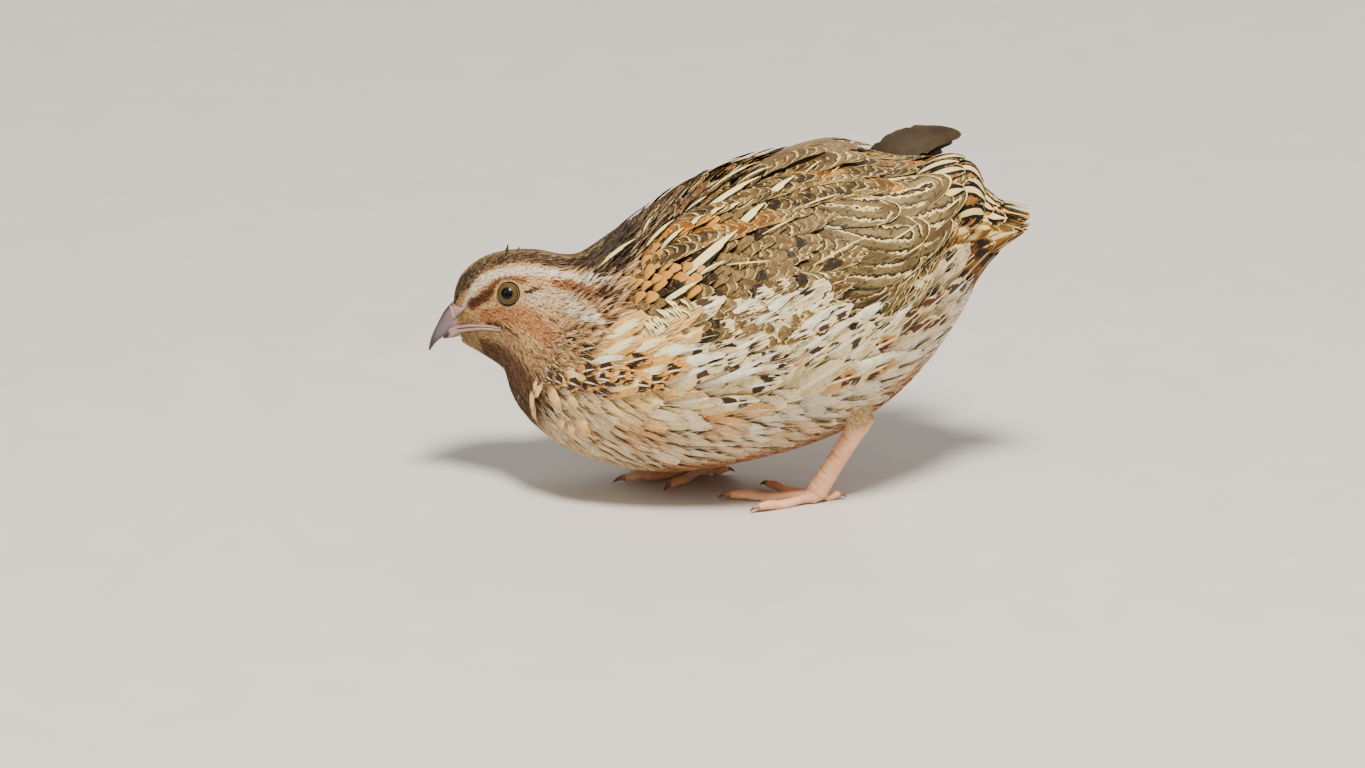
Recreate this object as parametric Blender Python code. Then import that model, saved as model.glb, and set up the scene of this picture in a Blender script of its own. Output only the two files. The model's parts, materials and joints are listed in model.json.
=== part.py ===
"""Coturnix quail, life size: a still model in a low walking crouch.

The bird faces -X, its left side is towards -Y, and it stands on the plane z = 0.
Lengths are in millimetres up to the point where a mesh is made, and MM turns them into metres.
A place on the body is a pair (t, a): t runs along SECTIONS from the bill to the tail, and a is
the angle in degrees round the body, from 0 along the back over 90 on the left flank to 180 below.
"""

import math

import bmesh
import bpy
import numpy as np
from mathutils import Vector

MM = 0.001
GAP = 0.3  # between neighbouring pieces
SLIT = 0.5  # width of the mouth line

# Each ring of the body's outer coat: name, top (x, z), bottom (x, z), half width, and how much
# wider the ring is above its middle than below.
SECTIONS = (
    ("bill_root", -71.8, 50.9, -69.5, 39.6, 3.7, 0.0),
    ("lores", -70.0, 57.2, -65.5, 37.5, 7.0, 0.0),
    ("brow", -65.0, 62.0, -61.5, 35.0, 9.6, 0.0),
    ("eye", -58.2, 64.2, -58.6, 32.5, 11.4, 0.0),
    ("crown", -49.5, 64.4, -57.6, 29.1, 13.4, -0.05),
    ("nape", -40.5, 63.1, -56.2, 25.1, 16.4, -0.08),
    ("collar", -32.5, 67.3, -53.4, 20.9, 21.6, -0.10),
    ("shoulder", -22.5, 74.1, -48.0, 15.7, 27.6, -0.08),
    ("breast", -10.0, 82.0, -37.0, 9.5, 33.4, -0.04),
    ("keel", 4.0, 87.5, -17.5, 5.7, 36.6, 0.0),
    ("belly", 18.0, 90.3, 6.0, 8.9, 36.6, 0.03),
    ("thigh", 31.0, 90.5, 28.0, 15.9, 33.4, 0.06),
    ("vent", 43.5, 88.2, 44.5, 27.0, 26.4, 0.08),
    ("rump", 54.0, 89.0, 55.6, 40.0, 18.6, 0.08),
    ("tail_root", 62.3, 87.8, 63.2, 53.5, 11.8, 0.04),
    ("tail_end", 67.0, 79.6, 67.8, 63.0, 7.0, 0.0),
    ("tail_tip", 78.3, 74.4, 78.3, 71.5, 5.0, 0.0),
)

# Where the whole bird is parted, along SECTIONS
HEAD_TO_NECK = 4.7
NECK_TO_TORSO = 6.5
TORSO_TO_TAIL = 13.0
TAIL_STUMP = 15.6

# Head
EYE_X, EYE_Z = -57.4, 56.1
EYE_OPENING = 2.85  # radius of what shows between the lids
EYE_BALL = 3.7
LID_THICK = 0.55
LID_SQUASH = 0.92  # how much less high than long the lids' opening is
# Bill, from its root to its tip: ridge (x, z), edge over the mouth (x, z), half width
UPPER_BILL = (
    (-71.95, 50.5, -70.7, 44.5, 3.6),
    (-73.9, 48.6, -72.1, 43.6, 3.0),
    (-75.4, 46.0, -73.6, 42.5, 2.4),
    (-76.7, 43.3, -75.3, 41.1, 1.75),
    (-77.8, 40.6, -76.9, 39.3, 1.05),
    (-78.4, 37.6, -78.0, 37.4, 0.35),
)
LOWER_BILL = (
    (-70.6, 43.9, -70.1, 41.6, 3.2),
    (-71.9, 43.1, -71.5, 41.1, 2.6),
    (-73.2, 42.2, -73.0, 40.8, 1.8),
    (-74.6, 41.0, -74.5, 40.6, 0.7),
)
MOUTH_TIP, MOUTH_BEND, GAPE = (-76.7, 39.3), (-68.5, 48.2), (-58.8, 46.4)
NOSTRIL_LOW, NOSTRIL_HIGH = (-70.3, 48.0), (-68.8, 49.9)
NOSTRIL_WIDE = 0.35

# Folded wing, on the left side: its upper and lower border against t
WING_FRONT, WING_REAR = 7.0, 14.1
WING_ROOM = 5.0  # how far the body under the wing is set in
WING_UPPER = (
    (7.0, 48.0), (7.4, 38.0), (8.2, 29.0), (9.5, 20.0), (11.0, 14.0), (12.5, 11.0), (14.1, 15.0),
)
WING_LOWER = (
    (7.0, 54.0), (7.6, 72.0), (8.6, 80.0), (9.8, 86.0), (11.0, 92.0),
    (11.9, 93.0), (12.8, 85.0), (13.4, 71.0), (13.85, 52.0), (14.1, 30.0),
)

# Legs: the middle of the foot on the floor, and the heel joint above it
LEFT_FOOT = (23.0, -13.0)
LEFT_HEEL = (37.0, -16.0, 27.5)
LEFT_KNEE = (30.0, -14.0, 38.0)
LEFT_SHANK = 23.8  # how much of the shank shows below the body
RIGHT_FOOT = (-6.0, 9.5)
RIGHT_HEEL = (18.0, 11.5, 17.5)
RIGHT_KNEE = (14.0, 10.0, 21.0)
RIGHT_SHANK = 7.2
LEFT_TURN, RIGHT_TURN = 4.0, 20.0  # degrees that the toes point towards the midline
THIGH_CUFF = 1.4  # how far the feathers of the thigh reach down round the shank
THIGH_THICK, CUFF_THICK = 11.5, 7.6
TARSUS_THICK = 4.8
TOE_LIFT = 1.25  # height of a toe's centreline
ANKLE_HEIGHT = 3.0
SHANK_START = 1.2  # where the shank ends above the ankle

COLOURS = {  # red, green, blue, roughness
    "crown_feather": (0.30, 0.20, 0.12, 0.75),
    "neck_feather": (0.50, 0.35, 0.20, 0.75),
    "body_feather": (0.62, 0.48, 0.30, 0.75),
    "wing_feather": (0.33, 0.25, 0.17, 0.7),
    "tail_feather": (0.36, 0.24, 0.14, 0.7),
    "horn": (0.33, 0.27, 0.26, 0.35),
    "leg_skin": (0.80, 0.47, 0.33, 0.5),
    "eye": (0.28, 0.17, 0.06, 0.1),
}


def clear_scene():
    for obj in list(bpy.data.objects):
        bpy.data.objects.remove(obj, do_unlink=True)


def material(name):
    """The material of that name, made the first time it is asked for."""
    found = bpy.data.materials.get(name)
    if found:
        return found
    red, green, blue, roughness = COLOURS[name]
    made = bpy.data.materials.new(name)
    made.use_nodes = True
    shader = made.node_tree.nodes["Principled BSDF"]
    shader.inputs["Base Color"].default_value = (red, green, blue, 1.0)
    shader.inputs["Roughness"].default_value = roughness
    shader.inputs["Metallic"].default_value = 0.0
    return made


def mesh_object(name, points, faces, finish):
    """An object from points in millimetres."""
    mesh = bpy.data.meshes.new(name)
    mesh.from_pydata((np.asarray(points, float) * MM).tolist(), [], faces)
    mesh.materials.append(material(finish))
    mesh.validate()
    obj = bpy.data.objects.new(name, mesh)
    bpy.context.scene.collection.objects.link(obj)
    return obj


# Curves and the surface of the body


def unit(vector):
    vector = np.asarray(vector, float)
    return vector / np.linalg.norm(vector)


def cubic(rows):
    """A smooth curve through rows at 0, 1, 2 and so on, as a function of one array."""
    rows = np.asarray(rows, float)
    last = len(rows) - 1
    matrix = np.eye(last + 1) * 4.0
    right = np.zeros_like(rows)
    for i in range(1, last):
        matrix[i, i - 1] = matrix[i, i + 1] = 1.0
        right[i] = 6.0 * (rows[i - 1] - 2.0 * rows[i] + rows[i + 1])
    matrix[0, 0] = matrix[last, last] = 1.0
    bend = np.linalg.solve(matrix, right)

    def at(t):
        t = np.clip(t, 0.0, last)
        i = np.minimum(t.astype(int), last - 1)
        far = (t - i)[..., None]
        near = 1.0 - far
        line = near * rows[i] + far * rows[i + 1]
        return line + ((near**3 - near) * bend[i] + (far**3 - far) * bend[i + 1]) / 6.0

    return at


ring_at = cubic([section[1:] for section in SECTIONS])


def coat(t, a):
    """The point of the outer coat at t and a."""
    t, a = np.broadcast_arrays(np.asarray(t, float), np.radians(np.asarray(a, float)))
    top_x, top_z, low_x, low_z, half, egg = np.moveaxis(ring_at(t), -1, 0)
    up, side = np.cos(a), np.sin(a)
    return np.stack(
        [
            (top_x + low_x) / 2 + (top_x - low_x) / 2 * up,
            -half * side * (1 + egg * up),
            (top_z + low_z) / 2 + (top_z - low_z) / 2 * up,
        ],
        -1,
    )


def slopes(t, a):
    """The coat's derivatives along t and along a, and its outward normal."""
    step = 1e-3
    along = (coat(t + step, a) - coat(t - step, a)) / (2 * step)
    round_ = (coat(t, a + step) - coat(t, a - step)) / (2 * step)
    normal = np.cross(round_, along)
    length = np.linalg.norm(normal, axis=-1, keepdims=True)
    return along, round_, normal / np.maximum(length, 1e-9)


def surface(t, a, out=0.0):
    """The point out millimetres outside the coat at t and a."""
    t, a, out = np.broadcast_arrays(*(np.asarray(v, float) for v in (t, a, out)))
    return coat(t, a) + slopes(t, a)[2] * out[..., None]


def ringed(t, a, out=0.0):
    """As surface, with the point moved within the plane of its ring instead, so that rings never cross."""
    t, a, out = np.broadcast_arrays(*(np.asarray(v, float) for v in (t, a, out)))
    point = coat(t, a)
    middle = (coat(t, 0 * a) + coat(t, 0 * a + 180.0)) / 2
    away = point - middle
    away /= np.linalg.norm(away, axis=-1, keepdims=True)
    facing = np.maximum((away * slopes(t, a)[2]).sum(axis=-1), 0.55)
    return point + away * (out / facing)[..., None]


def ease(x):
    """From 0 to 1, smoothly."""
    x = np.clip(x, 0.0, 1.0)
    return x * x * (3.0 - 2.0 * x)


def border(points, t):
    return np.interp(t, [p[0] for p in points], [p[1] for p in points])


def wing_share(t, a):
    """1 well inside a folded wing's place on either side, 0 on its border and outside."""
    a = np.abs((np.asarray(a, float) + 180.0) % 360.0 - 180.0)
    upper, lower = border(WING_UPPER, t), border(WING_LOWER, t)
    ends = ease((t - WING_FRONT) / 0.8) * ease((WING_REAR - t) / 0.8)
    return ends * ease((a - upper) / 12.0) * ease((lower - a) / 14.0)


def flesh_out(t, a):
    """How far the body's solids lie from the coat: 0, and deeper under the wings."""
    return -WING_ROOM * wing_share(t, a)


# Solids


def loft(name, first, last, steps, around, finish, grow=0.0):
    """The body between two places on SECTIONS, closed by a flat face at each end.

    Each end is drawn in by half a gap. A grow above 0 gives a fatter copy, to cut neighbours clear.
    """
    ts = np.linspace(first, last, steps + 1)
    t, a = np.meshgrid(ts, np.arange(around) * 360.0 / around, indexing="ij")
    rings = ringed(t, a, flesh_out(t, a) + grow)
    for end, sign in ((0, 1.0), (-1, -1.0)):
        upright = unit(coat(ts[end], 0.0) - coat(ts[end], 180.0))
        rings[end] += sign * (GAP / 2 - grow) * np.array((upright[2], 0.0, -upright[0]))
    points = np.concatenate([rings.reshape(-1, 3), rings[[0, -1]].mean(axis=1)])
    front, back = len(points) - 2, len(points) - 1
    faces = []
    for j in range(around):
        k = (j + 1) % around
        faces += [(front, k, j), (back, steps * around + j, steps * around + k)]
        for row in range(0, steps * around, around):
            here, there = row + j, row + k
            faces += [(here, there, there + around), (here, there + around, here + around)]
    obj = mesh_object(name, points, faces, finish)
    face_outwards(obj)
    return obj


def face_outwards(obj):
    mesh = bmesh.new()
    mesh.from_mesh(obj.data)
    bmesh.ops.recalc_face_normals(mesh, faces=mesh.faces)
    mesh.to_mesh(obj.data)
    mesh.free()


def boolean(obj, others, operation, solver="MANIFOLD"):
    """Joins others to obj or cuts them from it, applies that, and removes them."""
    group = bpy.data.collections.new("operands")
    bpy.context.scene.collection.children.link(group)
    for other in others:
        bpy.context.scene.collection.objects.unlink(other)
        group.objects.link(other)
    modifier = obj.modifiers.new("joined", "BOOLEAN")
    modifier.operation = operation
    modifier.solver = solver
    modifier.operand_type = "COLLECTION"
    modifier.collection = group
    graph = bpy.context.evaluated_depsgraph_get()
    mesh = bpy.data.meshes.new_from_object(obj.evaluated_get(graph))
    obj.modifiers.clear()
    obj.data = mesh
    for other in others:
        bpy.data.objects.remove(other, do_unlink=True)
    bpy.data.collections.remove(group)
    return keep_largest(obj)


def keep_largest(obj):
    """Leaves only the closed surface that holds the most."""
    mesh = bmesh.new()
    mesh.from_mesh(obj.data)
    bmesh.ops.triangulate(mesh, faces=mesh.faces)
    left, groups = set(mesh.verts), []
    while left:
        group, todo = set(), [next(iter(left))]
        while todo:
            vert = todo.pop()
            if vert in group:
                continue
            group.add(vert)
            todo.extend(edge.other_vert(vert) for edge in vert.link_edges)
        groups.append(group)
        left -= group

    def volume(group):
        faces = {face for vert in group for face in vert.link_faces}
        return sum(f.verts[0].co.dot(f.verts[1].co.cross(f.verts[2].co)) for f in faces)

    largest = max(groups, key=volume)
    bmesh.ops.delete(mesh, geom=[v for v in mesh.verts if v not in largest], context="VERTS")
    mesh.to_mesh(obj.data)
    mesh.free()
    return obj


def tube(name, centres, radii, sides, finish, flatten=1.0, across=None):
    """A closed round piece along centres. flatten squeezes it along its own upward direction."""
    centres = np.asarray(centres, float)
    radii = np.asarray(radii, float)
    ahead = np.gradient(centres, axis=0)
    ahead /= np.linalg.norm(ahead, axis=1)[:, None]
    guide = np.array(across if across is not None else (0.0, 1.0, 0.0))
    side = guide - (ahead @ guide)[:, None] * ahead
    side /= np.linalg.norm(side, axis=1)[:, None]
    up = np.cross(ahead, side)
    angle = (np.arange(sides) * 2 * math.pi / sides)[None, :, None]
    ring = np.cos(angle) * side[:, None] + flatten * np.sin(angle) * up[:, None]
    points = (centres[:, None] + radii[:, None, None] * ring).reshape(-1, 3)
    faces = []
    for i in range(len(centres) - 1):
        for j in range(sides):
            k = (j + 1) % sides
            faces.append((i * sides + j, i * sides + k, (i + 1) * sides + k, (i + 1) * sides + j))
    faces.append(tuple(range(sides)))
    faces.append(tuple((len(centres) - 1) * sides + j for j in range(sides)))
    obj = mesh_object(name, points, faces, finish)
    face_outwards(obj)
    return obj


def ball(name, centre, radius, finish, segments=14, rings=9):
    mesh = bmesh.new()
    bmesh.ops.create_uvsphere(mesh, u_segments=segments, v_segments=rings, radius=radius * MM)
    bmesh.ops.translate(mesh, verts=mesh.verts, vec=Vector(centre) * MM)
    data = bpy.data.meshes.new(name)
    mesh.to_mesh(data)
    mesh.free()
    data.materials.append(material(finish))
    obj = bpy.data.objects.new(name, data)
    bpy.context.scene.collection.objects.link(obj)
    return obj


# Head


def side_angle(t, z):
    """The angle on the left side where the ring at t reaches the height z."""
    angles = np.linspace(20.0, 150.0, 521)
    return angles[np.abs(coat(t, angles)[:, 2] - z).argmin()]


def place_at(x, z):
    """(t, a) of the point of the left side of the head that has this x and z."""
    ts = np.linspace(0.2, 5.0, 241)
    best = min(ts, key=lambda t: abs(coat(t, side_angle(t, z))[0] - x))
    return best, side_angle(best, z)


def eye_frame():
    """The left eye's middle on the coat, and the outward direction there."""
    t, a = place_at(EYE_X, EYE_Z)
    return surface(t, a), slopes(np.array(t), np.array(a))[2]


def eye_centre(side):
    """Middle of the eyeball, deep enough for EYE_OPENING to show.

    side is 1 on the bird's left and -1 on its right, here and below.
    """
    middle, out = eye_frame()
    centre = middle - out * math.sqrt(EYE_BALL**2 - EYE_OPENING**2)
    return centre * (1.0, side, 1.0)


def lid_ring(name, side):
    """The swollen edge of both lids, round the eye."""
    middle, out = eye_frame()
    middle, out = middle * (1.0, side, 1.0), out * (1.0, side, 1.0)
    major = EYE_OPENING + GAP + LID_THICK
    mesh = bmesh.new()
    around, sides = 18, 6
    turn = Vector(out).to_track_quat("Z", "Y")
    rings = []
    for i in range(around):
        angle = 2 * math.pi * i / around
        ring = []
        for j in range(sides):
            small = 2 * math.pi * j / sides
            reach = major + LID_THICK * math.cos(small)
            ahead, up = reach * math.cos(angle), LID_SQUASH * reach * math.sin(angle)
            spot = Vector((ahead, up, LID_THICK * math.sin(small)))
            ring.append(mesh.verts.new((Vector(middle) + turn @ spot) * MM))
        rings.append(ring)
    for i in range(around):
        for j in range(sides):
            here, there = rings[i], rings[(i + 1) % around]
            k = (j + 1) % sides
            mesh.faces.new((here[j], there[j], there[k], here[k]))
    data = bpy.data.meshes.new(name)
    mesh.to_mesh(data)
    mesh.free()
    data.materials.append(material("crown_feather"))
    obj = bpy.data.objects.new(name, data)
    bpy.context.scene.collection.objects.link(obj)
    face_outwards(obj)
    return obj


def mouth_line(share):
    """(x, z) on the mouth line: 0 at the bill's tip, 1 at the corner of the mouth."""
    tip, bend, corner = (np.array(point) for point in (MOUTH_TIP, MOUTH_BEND, GAPE))
    return (1 - share) ** 2 * tip + 2 * share * (1 - share) * bend + share**2 * corner


def mouth_slit():
    """A thin curved slab along the mouth line, as wide as the bill and cheeks."""
    shares = np.linspace(0.2, 1.0, 7)
    line = np.array([mouth_line(s) for s in shares])
    half = SLIT / 2 * np.linspace(1.0, 0.7, len(line))
    points, faces = [], []
    for (x, z), h in zip(line, half):
        points += [(x, -14, z - h), (x, 14, z - h), (x, 14, z + h), (x, -14, z + h)]
    for i in range(len(line) - 1):
        b = 4 * i
        faces += [(b + j, b + (j + 1) % 4, b + 4 + (j + 1) % 4, b + 4 + j) for j in range(4)]
    faces += [(3, 2, 1, 0), tuple(4 * (len(line) - 1) + j for j in range(4))]
    obj = mesh_object("slit", points, faces, "horn")
    face_outwards(obj)
    return obj


def nostril(side):
    """The slit under the horny flap on either side of the bill's root."""
    centres = []
    for share in np.linspace(-0.15, 1.0, 4):
        x = NOSTRIL_LOW[0] + (NOSTRIL_HIGH[0] - NOSTRIL_LOW[0]) * share
        z = NOSTRIL_LOW[1] + (NOSTRIL_HIGH[1] - NOSTRIL_LOW[1]) * share
        centres.append(surface(*place_at(x, z)) * (1.0, side, 1.0))
    return tube("nostril", centres, [NOSTRIL_WIDE] * 4, 8, "horn")


def make_head():
    head = loft("head", *LOFTS["head"], "crown_feather")
    boolean(head, [lid_ring("lid_left", 1), lid_ring("lid_right", -1)], "UNION")
    sockets = [ball("socket", eye_centre(side), EYE_BALL + GAP, "eye") for side in (1, -1)]
    boolean(head, sockets, "DIFFERENCE")
    boolean(head, [mouth_slit(), nostril(1), nostril(-1)], "DIFFERENCE")
    for side, name in ((1, "left_eye"), (-1, "right_eye")):
        ball(name, eye_centre(side), EYE_BALL, "eye")


def bill_half(name, rings, around=9):
    """Half of the bill. Each ring is a half ellipse that stands on the edge over the mouth."""
    points = []
    for ridge_x, ridge_z, edge_x, edge_z, half in rings:
        for angle in np.linspace(0.0, math.pi, around):
            rise = math.sin(angle) ** 0.8
            x, z = edge_x + (ridge_x - edge_x) * rise, edge_z + (ridge_z - edge_z) * rise
            points.append((x, -half * math.cos(angle), z))
    faces = []
    for row in range(0, (len(rings) - 1) * around, around):
        for j in range(around):
            here, there = row + j, row + (j + 1) % around
            faces += [(here, there, there + around), (here, there + around, here + around)]
    faces.append(tuple(range(around)))
    faces.append(tuple((len(rings) - 1) * around + j for j in range(around)))
    obj = mesh_object(name, points, faces, "horn")
    face_outwards(obj)
    return obj


def make_bill():
    bill_half("upper_bill", UPPER_BILL)
    bill_half("lower_bill", [(low_x, low_z, x, z, half) for x, z, low_x, low_z, half in LOWER_BILL])


# Neck, torso and tail stump

LOFTS = {  # first and last place on SECTIONS, rings and sides
    "head": (0.0, HEAD_TO_NECK, 13, 24),
    "neck": (HEAD_TO_NECK, NECK_TO_TORSO, 4, 30),
    "torso": (NECK_TO_TORSO, TORSO_TO_TAIL, 22, 40),
    "tail": (TORSO_TO_TAIL, TAIL_STUMP, 7, 24),
}


def grown(name):
    """A copy of a part of the body that is a gap fatter all round, to cut its neighbours clear."""
    return loft("room", *LOFTS[name], "body_feather", GAP)


def make_body():
    loft("neck", *LOFTS["neck"], "neck_feather")
    loft("torso", *LOFTS["torso"], "body_feather")


# Feathers as vanes

VANE_THICK = 0.55
VANE_SHARES = (0.0, 0.42, 0.8, 1.0)  # places along a vane
VANE_WIDTHS = (0.6, 1.0, 0.86, 0.3)  # its width there


def slab(name, centres, sides, ups, finish):
    """A closed thin blade. sides and ups are its half width and half thickness at each centre."""
    corners = [centres - sides + ups, centres + sides + ups, centres + sides - ups, centres - sides - ups]
    points = np.stack(corners, axis=1).reshape(-1, 3)
    last = 4 * (len(centres) - 1)
    faces = [(0, 1, 2), (0, 2, 3), (last, last + 2, last + 1), (last, last + 3, last + 2)]
    for i in range(0, last, 4):
        top_near, top_far = (i, i + 1), (i + 4, i + 5)
        low_near, low_far = (i + 3, i + 2), (i + 7, i + 6)
        faces += [(top_near[0], top_far[1], top_near[1]), (top_near[0], top_far[0], top_far[1])]
        faces += [(low_near[0], low_near[1], low_far[1]), (low_near[0], low_far[1], low_far[0])]
        faces += [(top_near[1], top_far[1], low_far[1]), (top_near[1], low_far[1], low_near[1])]
        faces += [(top_near[0], low_far[0], top_far[0]), (top_near[0], low_near[0], low_far[0])]
    obj = mesh_object(name, points, faces, finish)
    face_outwards(obj)
    return obj


def vane(root, tip, width, heights, bulge=0.0, roll=0.0, side=1, finish="wing_feather"):
    """A feather that lies along the coat from root to tip, both given as (t, a).

    heights are its distance outside the coat at the root, the middle and the tip. bulge bends its
    path, in degrees of a. roll is how far its lower edge stands out and its upper edge lies in.
    """
    share = np.array(VANE_SHARES)
    t = root[0] + (tip[0] - root[0]) * share
    a = root[1] + (tip[1] - root[1]) * share + bulge * 4 * share * (1 - share)
    out = np.interp(share, (0.0, 0.5, 1.0), heights)
    along, round_, normal = slopes(t, a)
    path = np.gradient(surface(t, a, out), axis=0)
    across = np.cross(path, normal)
    across /= np.linalg.norm(across, axis=1)[:, None]
    across *= np.sign((across * round_).sum(axis=1))[:, None]
    half = width / 2 * np.array(VANE_WIDTHS)
    # The steps in t and a that move a point by across along the surface
    steps = []
    for i in range(len(share)):
        grid = np.stack([along[i], round_[i]], axis=1)
        steps.append(np.linalg.lstsq(grid, across[i] * half[i], rcond=None)[0])
    dt, da = np.array(steps).T
    low = surface(t + dt, a + da, out + roll)
    high = surface(t - dt, a - da, out - roll)
    centres, sides = (low + high) / 2, (low - high) / 2
    ups = normal * VANE_THICK / 2
    mirror = np.array((1.0, side, 1.0))
    return slab("vane", centres * mirror, sides * mirror, ups * mirror, finish)


def row(count, roots, tips, width, heights, bulge=0.0, roll=0.45, side=1, finish="wing_feather"):
    """A tier of vanes. roots and tips hold the first and the last one's (t, a)."""
    vanes = []
    for share in np.linspace(0.0, 1.0, count):
        root = [lo + (hi - lo) * share for lo, hi in zip(*roots)]
        tip = [lo + (hi - lo) * share for lo, hi in zip(*tips)]
        vanes.append(vane(root, tip, width, heights, bulge * (1 - 0.6 * share), roll, side, finish))
    return vanes


# Wings

# Each tier of the folded wing: how many, roots from the lowest to the highest, their tips, width,
# heights at the root, middle and tip, and how far the paths bulge downwards
WING_TIERS = {
    "primaries": (4, ((9.7, 85), (10.9, 77)), ((13.1, 80), (13.7, 60)), 5.6, (-2.6, -1.0, -0.5), 10),
    "secondaries": (8, ((9.3, 79), (11.0, 22)), ((12.3, 85), (13.95, 25)), 5.4, (-2.4, -0.4, 0.2), 8),
    "greater_coverts": (7, ((8.4, 76), (10.0, 30)), ((10.7, 84), (12.2, 38)), 5.6, (-2.2, -0.1, 0.8), 3),
    "median_coverts": (6, ((7.9, 70), (9.2, 34)), ((9.5, 79), (10.9, 43)), 5.4, (-2.0, 0.2, 1.2), 2),
    "lesser_coverts": (4, ((7.5, 61), (8.3, 39)), ((8.7, 73), (9.8, 49)), 5.4, (-1.8, 0.4, 1.5), 0),
    "low_scapulars": (5, ((7.6, 42), (10.2, 24)), ((9.6, 40), (12.0, 25)), 5.6, (-1.6, 1.0, 1.8), 0),
    "high_scapulars": (5, ((7.5, 31), (10.4, 17)), ((9.4, 26), (12.4, 15)), 5.6, (-1.2, 1.3, 2.2), 0),
}


# Raised feathers of the right wing: root, tip and width, which way they face, and their arch
RAISED = (
    ((36.0, 15.0, 83.5), (60.5, 21.5, 89.3), 6.4),
    ((37.0, 19.0, 79.5), (58.5, 25.5, 85.2), 6.0),
)
RAISED_FACE = (0.0, 0.75, 0.66)
RAISED_ARCH = 2.6

WING_SUNK = 1.2  # how far the wing's plate reaches into the body before that is cut away
WING_RIM = 0.7  # its thickness at its border
WING_COVER = 2.6  # depth of the vanes over it


def wing_inner(t, a):
    return flesh_out(t, a) - WING_SUNK


def wing_outer(t, a):
    return flesh_out(t, a) + GAP + WING_RIM + (WING_ROOM - WING_COVER) * wing_share(t, a)


def wing_core(name, side, steps=16, across=6):
    """The folded wing's plate between its two borders."""
    ts = np.linspace(WING_FRONT + 0.05, WING_REAR - 0.05, steps + 1)
    shares = np.linspace(0.0, 1.0, across + 1)
    upper, lower = border(WING_UPPER, ts), border(WING_LOWER, ts)
    a = upper[:, None] + (lower - upper)[:, None] * shares[None, :]
    t = ts[:, None] + 0 * a
    layers = [ringed(t, a, out(t, a)) for out in (wing_inner, wing_outer)]
    points = np.concatenate([layer.reshape(-1, 3) for layer in layers]) * (1.0, side, 1.0)
    width, size = across + 1, (steps + 1) * (across + 1)
    faces = []
    for i in range(steps):
        for j in range(across):
            near, far = i * width + j, (i + 1) * width + j
            for corners in ((near, near + 1, far + 1), (near, far + 1, far)):
                faces.append(corners)
                faces.append(tuple(size + corner for corner in reversed(corners)))
    rim = [i * width for i in range(steps + 1)]
    rim += [steps * width + j for j in range(1, width)]
    rim += [i * width + across for i in range(steps - 1, -1, -1)]
    rim += list(range(across - 1, 0, -1))
    for here, there in zip(rim, rim[1:] + rim[:1]):
        faces += [(here, there, size + there), (here, size + there, size + here)]
    obj = mesh_object(name, points, faces, "wing_feather")
    face_outwards(obj)
    return obj


def raised_feathers():
    """Two flight feathers of the right wing that stand up behind the back."""
    vanes = []
    share = np.array(VANE_SHARES)[:, None]
    for root, tip, width in RAISED:
        root, tip = np.array(root), np.array(tip)
        arch = np.array((0.0, 0.0, RAISED_ARCH)) * 4 * share * (1 - share)
        centres = root + (tip - root) * share + arch
        path = unit(tip - root)
        across = unit(np.cross(path, RAISED_FACE))
        up = unit(np.cross(across, path))
        sides = across * width / 2 * np.array(VANE_WIDTHS)[:, None]
        ups = np.tile(up * VANE_THICK / 2, (len(share), 1))
        vanes.append(slab("raised", centres, sides, ups, "wing_feather"))
    return vanes


def make_wings():
    for side, name in ((1, "left_wing"), (-1, "right_wing")):
        wing = wing_core(name, side)
        vanes = []
        for count, roots, tips, width, heights, bulge in WING_TIERS.values():
            vanes += row(count, roots, tips, width, heights, bulge, side=side)
        if side == -1:
            vanes += raised_feathers()
        boolean(wing, vanes, "UNION")
        boolean(wing, [grown("torso")], "DIFFERENCE")
        boolean(wing, [grown("tail")], "DIFFERENCE")


# Tail

# Each tier of coverts: how many, roots from the bird's left to its right, their tips, width, and
# heights at the root, middle and tip
TAIL_TIERS = {
    "upper_coverts": (5, ((14.5, 54), (14.5, -54)), ((15.45, 52), (15.45, -52)), 5.0, (-1.4, 0.5, 1.2)),
    "side_coverts": (5, ((13.9, 122), (13.9, 238)), ((15.0, 116), (15.0, 244)), 5.6, (-1.4, 0.4, 0.8)),
    "under_coverts": (4, ((14.5, 130), (14.5, 230)), ((15.6, 124), (15.6, 236)), 4.8, (-1.4, 0.5, 0.8)),
}
TAIL_COUNT = 7
TAIL_ROOT, TAIL_TIP = (63.5, 79.6), (79.7, 76.3)  # x and z of the middle feather
TAIL_ROOT_STEP, TAIL_TIP_STEP = 1.0, 2.1  # sideways from each feather to the next
TAIL_DROP = 0.45  # downwards, in the order in which they lie on one another
TAIL_WIDTH = 4.4
TAIL_ROUND = 0.3  # how much shorter each feather is than the one nearer the middle


def tail_feathers():
    """The tail's own feathers, the middle one on top and the others under it on either side in turn."""
    vanes = []
    share = np.array(VANE_SHARES)[:, None]
    half = TAIL_WIDTH / 2 * np.array(VANE_WIDTHS)[:, None]
    places = sorted((number - TAIL_COUNT // 2 for number in range(TAIL_COUNT)), key=abs)
    for depth, out in enumerate(places):
        low = depth * TAIL_DROP
        root = np.array((TAIL_ROOT[0], out * TAIL_ROOT_STEP, TAIL_ROOT[1] - low))
        reach = TAIL_TIP[0] - TAIL_ROUND * abs(out)
        tip = np.array((reach, out * TAIL_TIP_STEP, TAIL_TIP[1] - low))
        across = unit(np.cross((0.0, 0.0, 1.0), tip - root))
        ups = np.tile((0.0, 0.0, VANE_THICK / 2), (len(share), 1))
        vanes.append(slab("feather", root + (tip - root) * share, across * half, ups, "tail_feather"))
    return vanes


def make_tail():
    tail = loft("tail", *LOFTS["tail"], "tail_feather")
    vanes = tail_feathers()
    for count, roots, tips, width, heights in TAIL_TIERS.values():
        vanes += row(count, roots, tips, width, heights, roll=0.3, finish="tail_feather")
    boolean(tail, vanes, "UNION")


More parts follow.
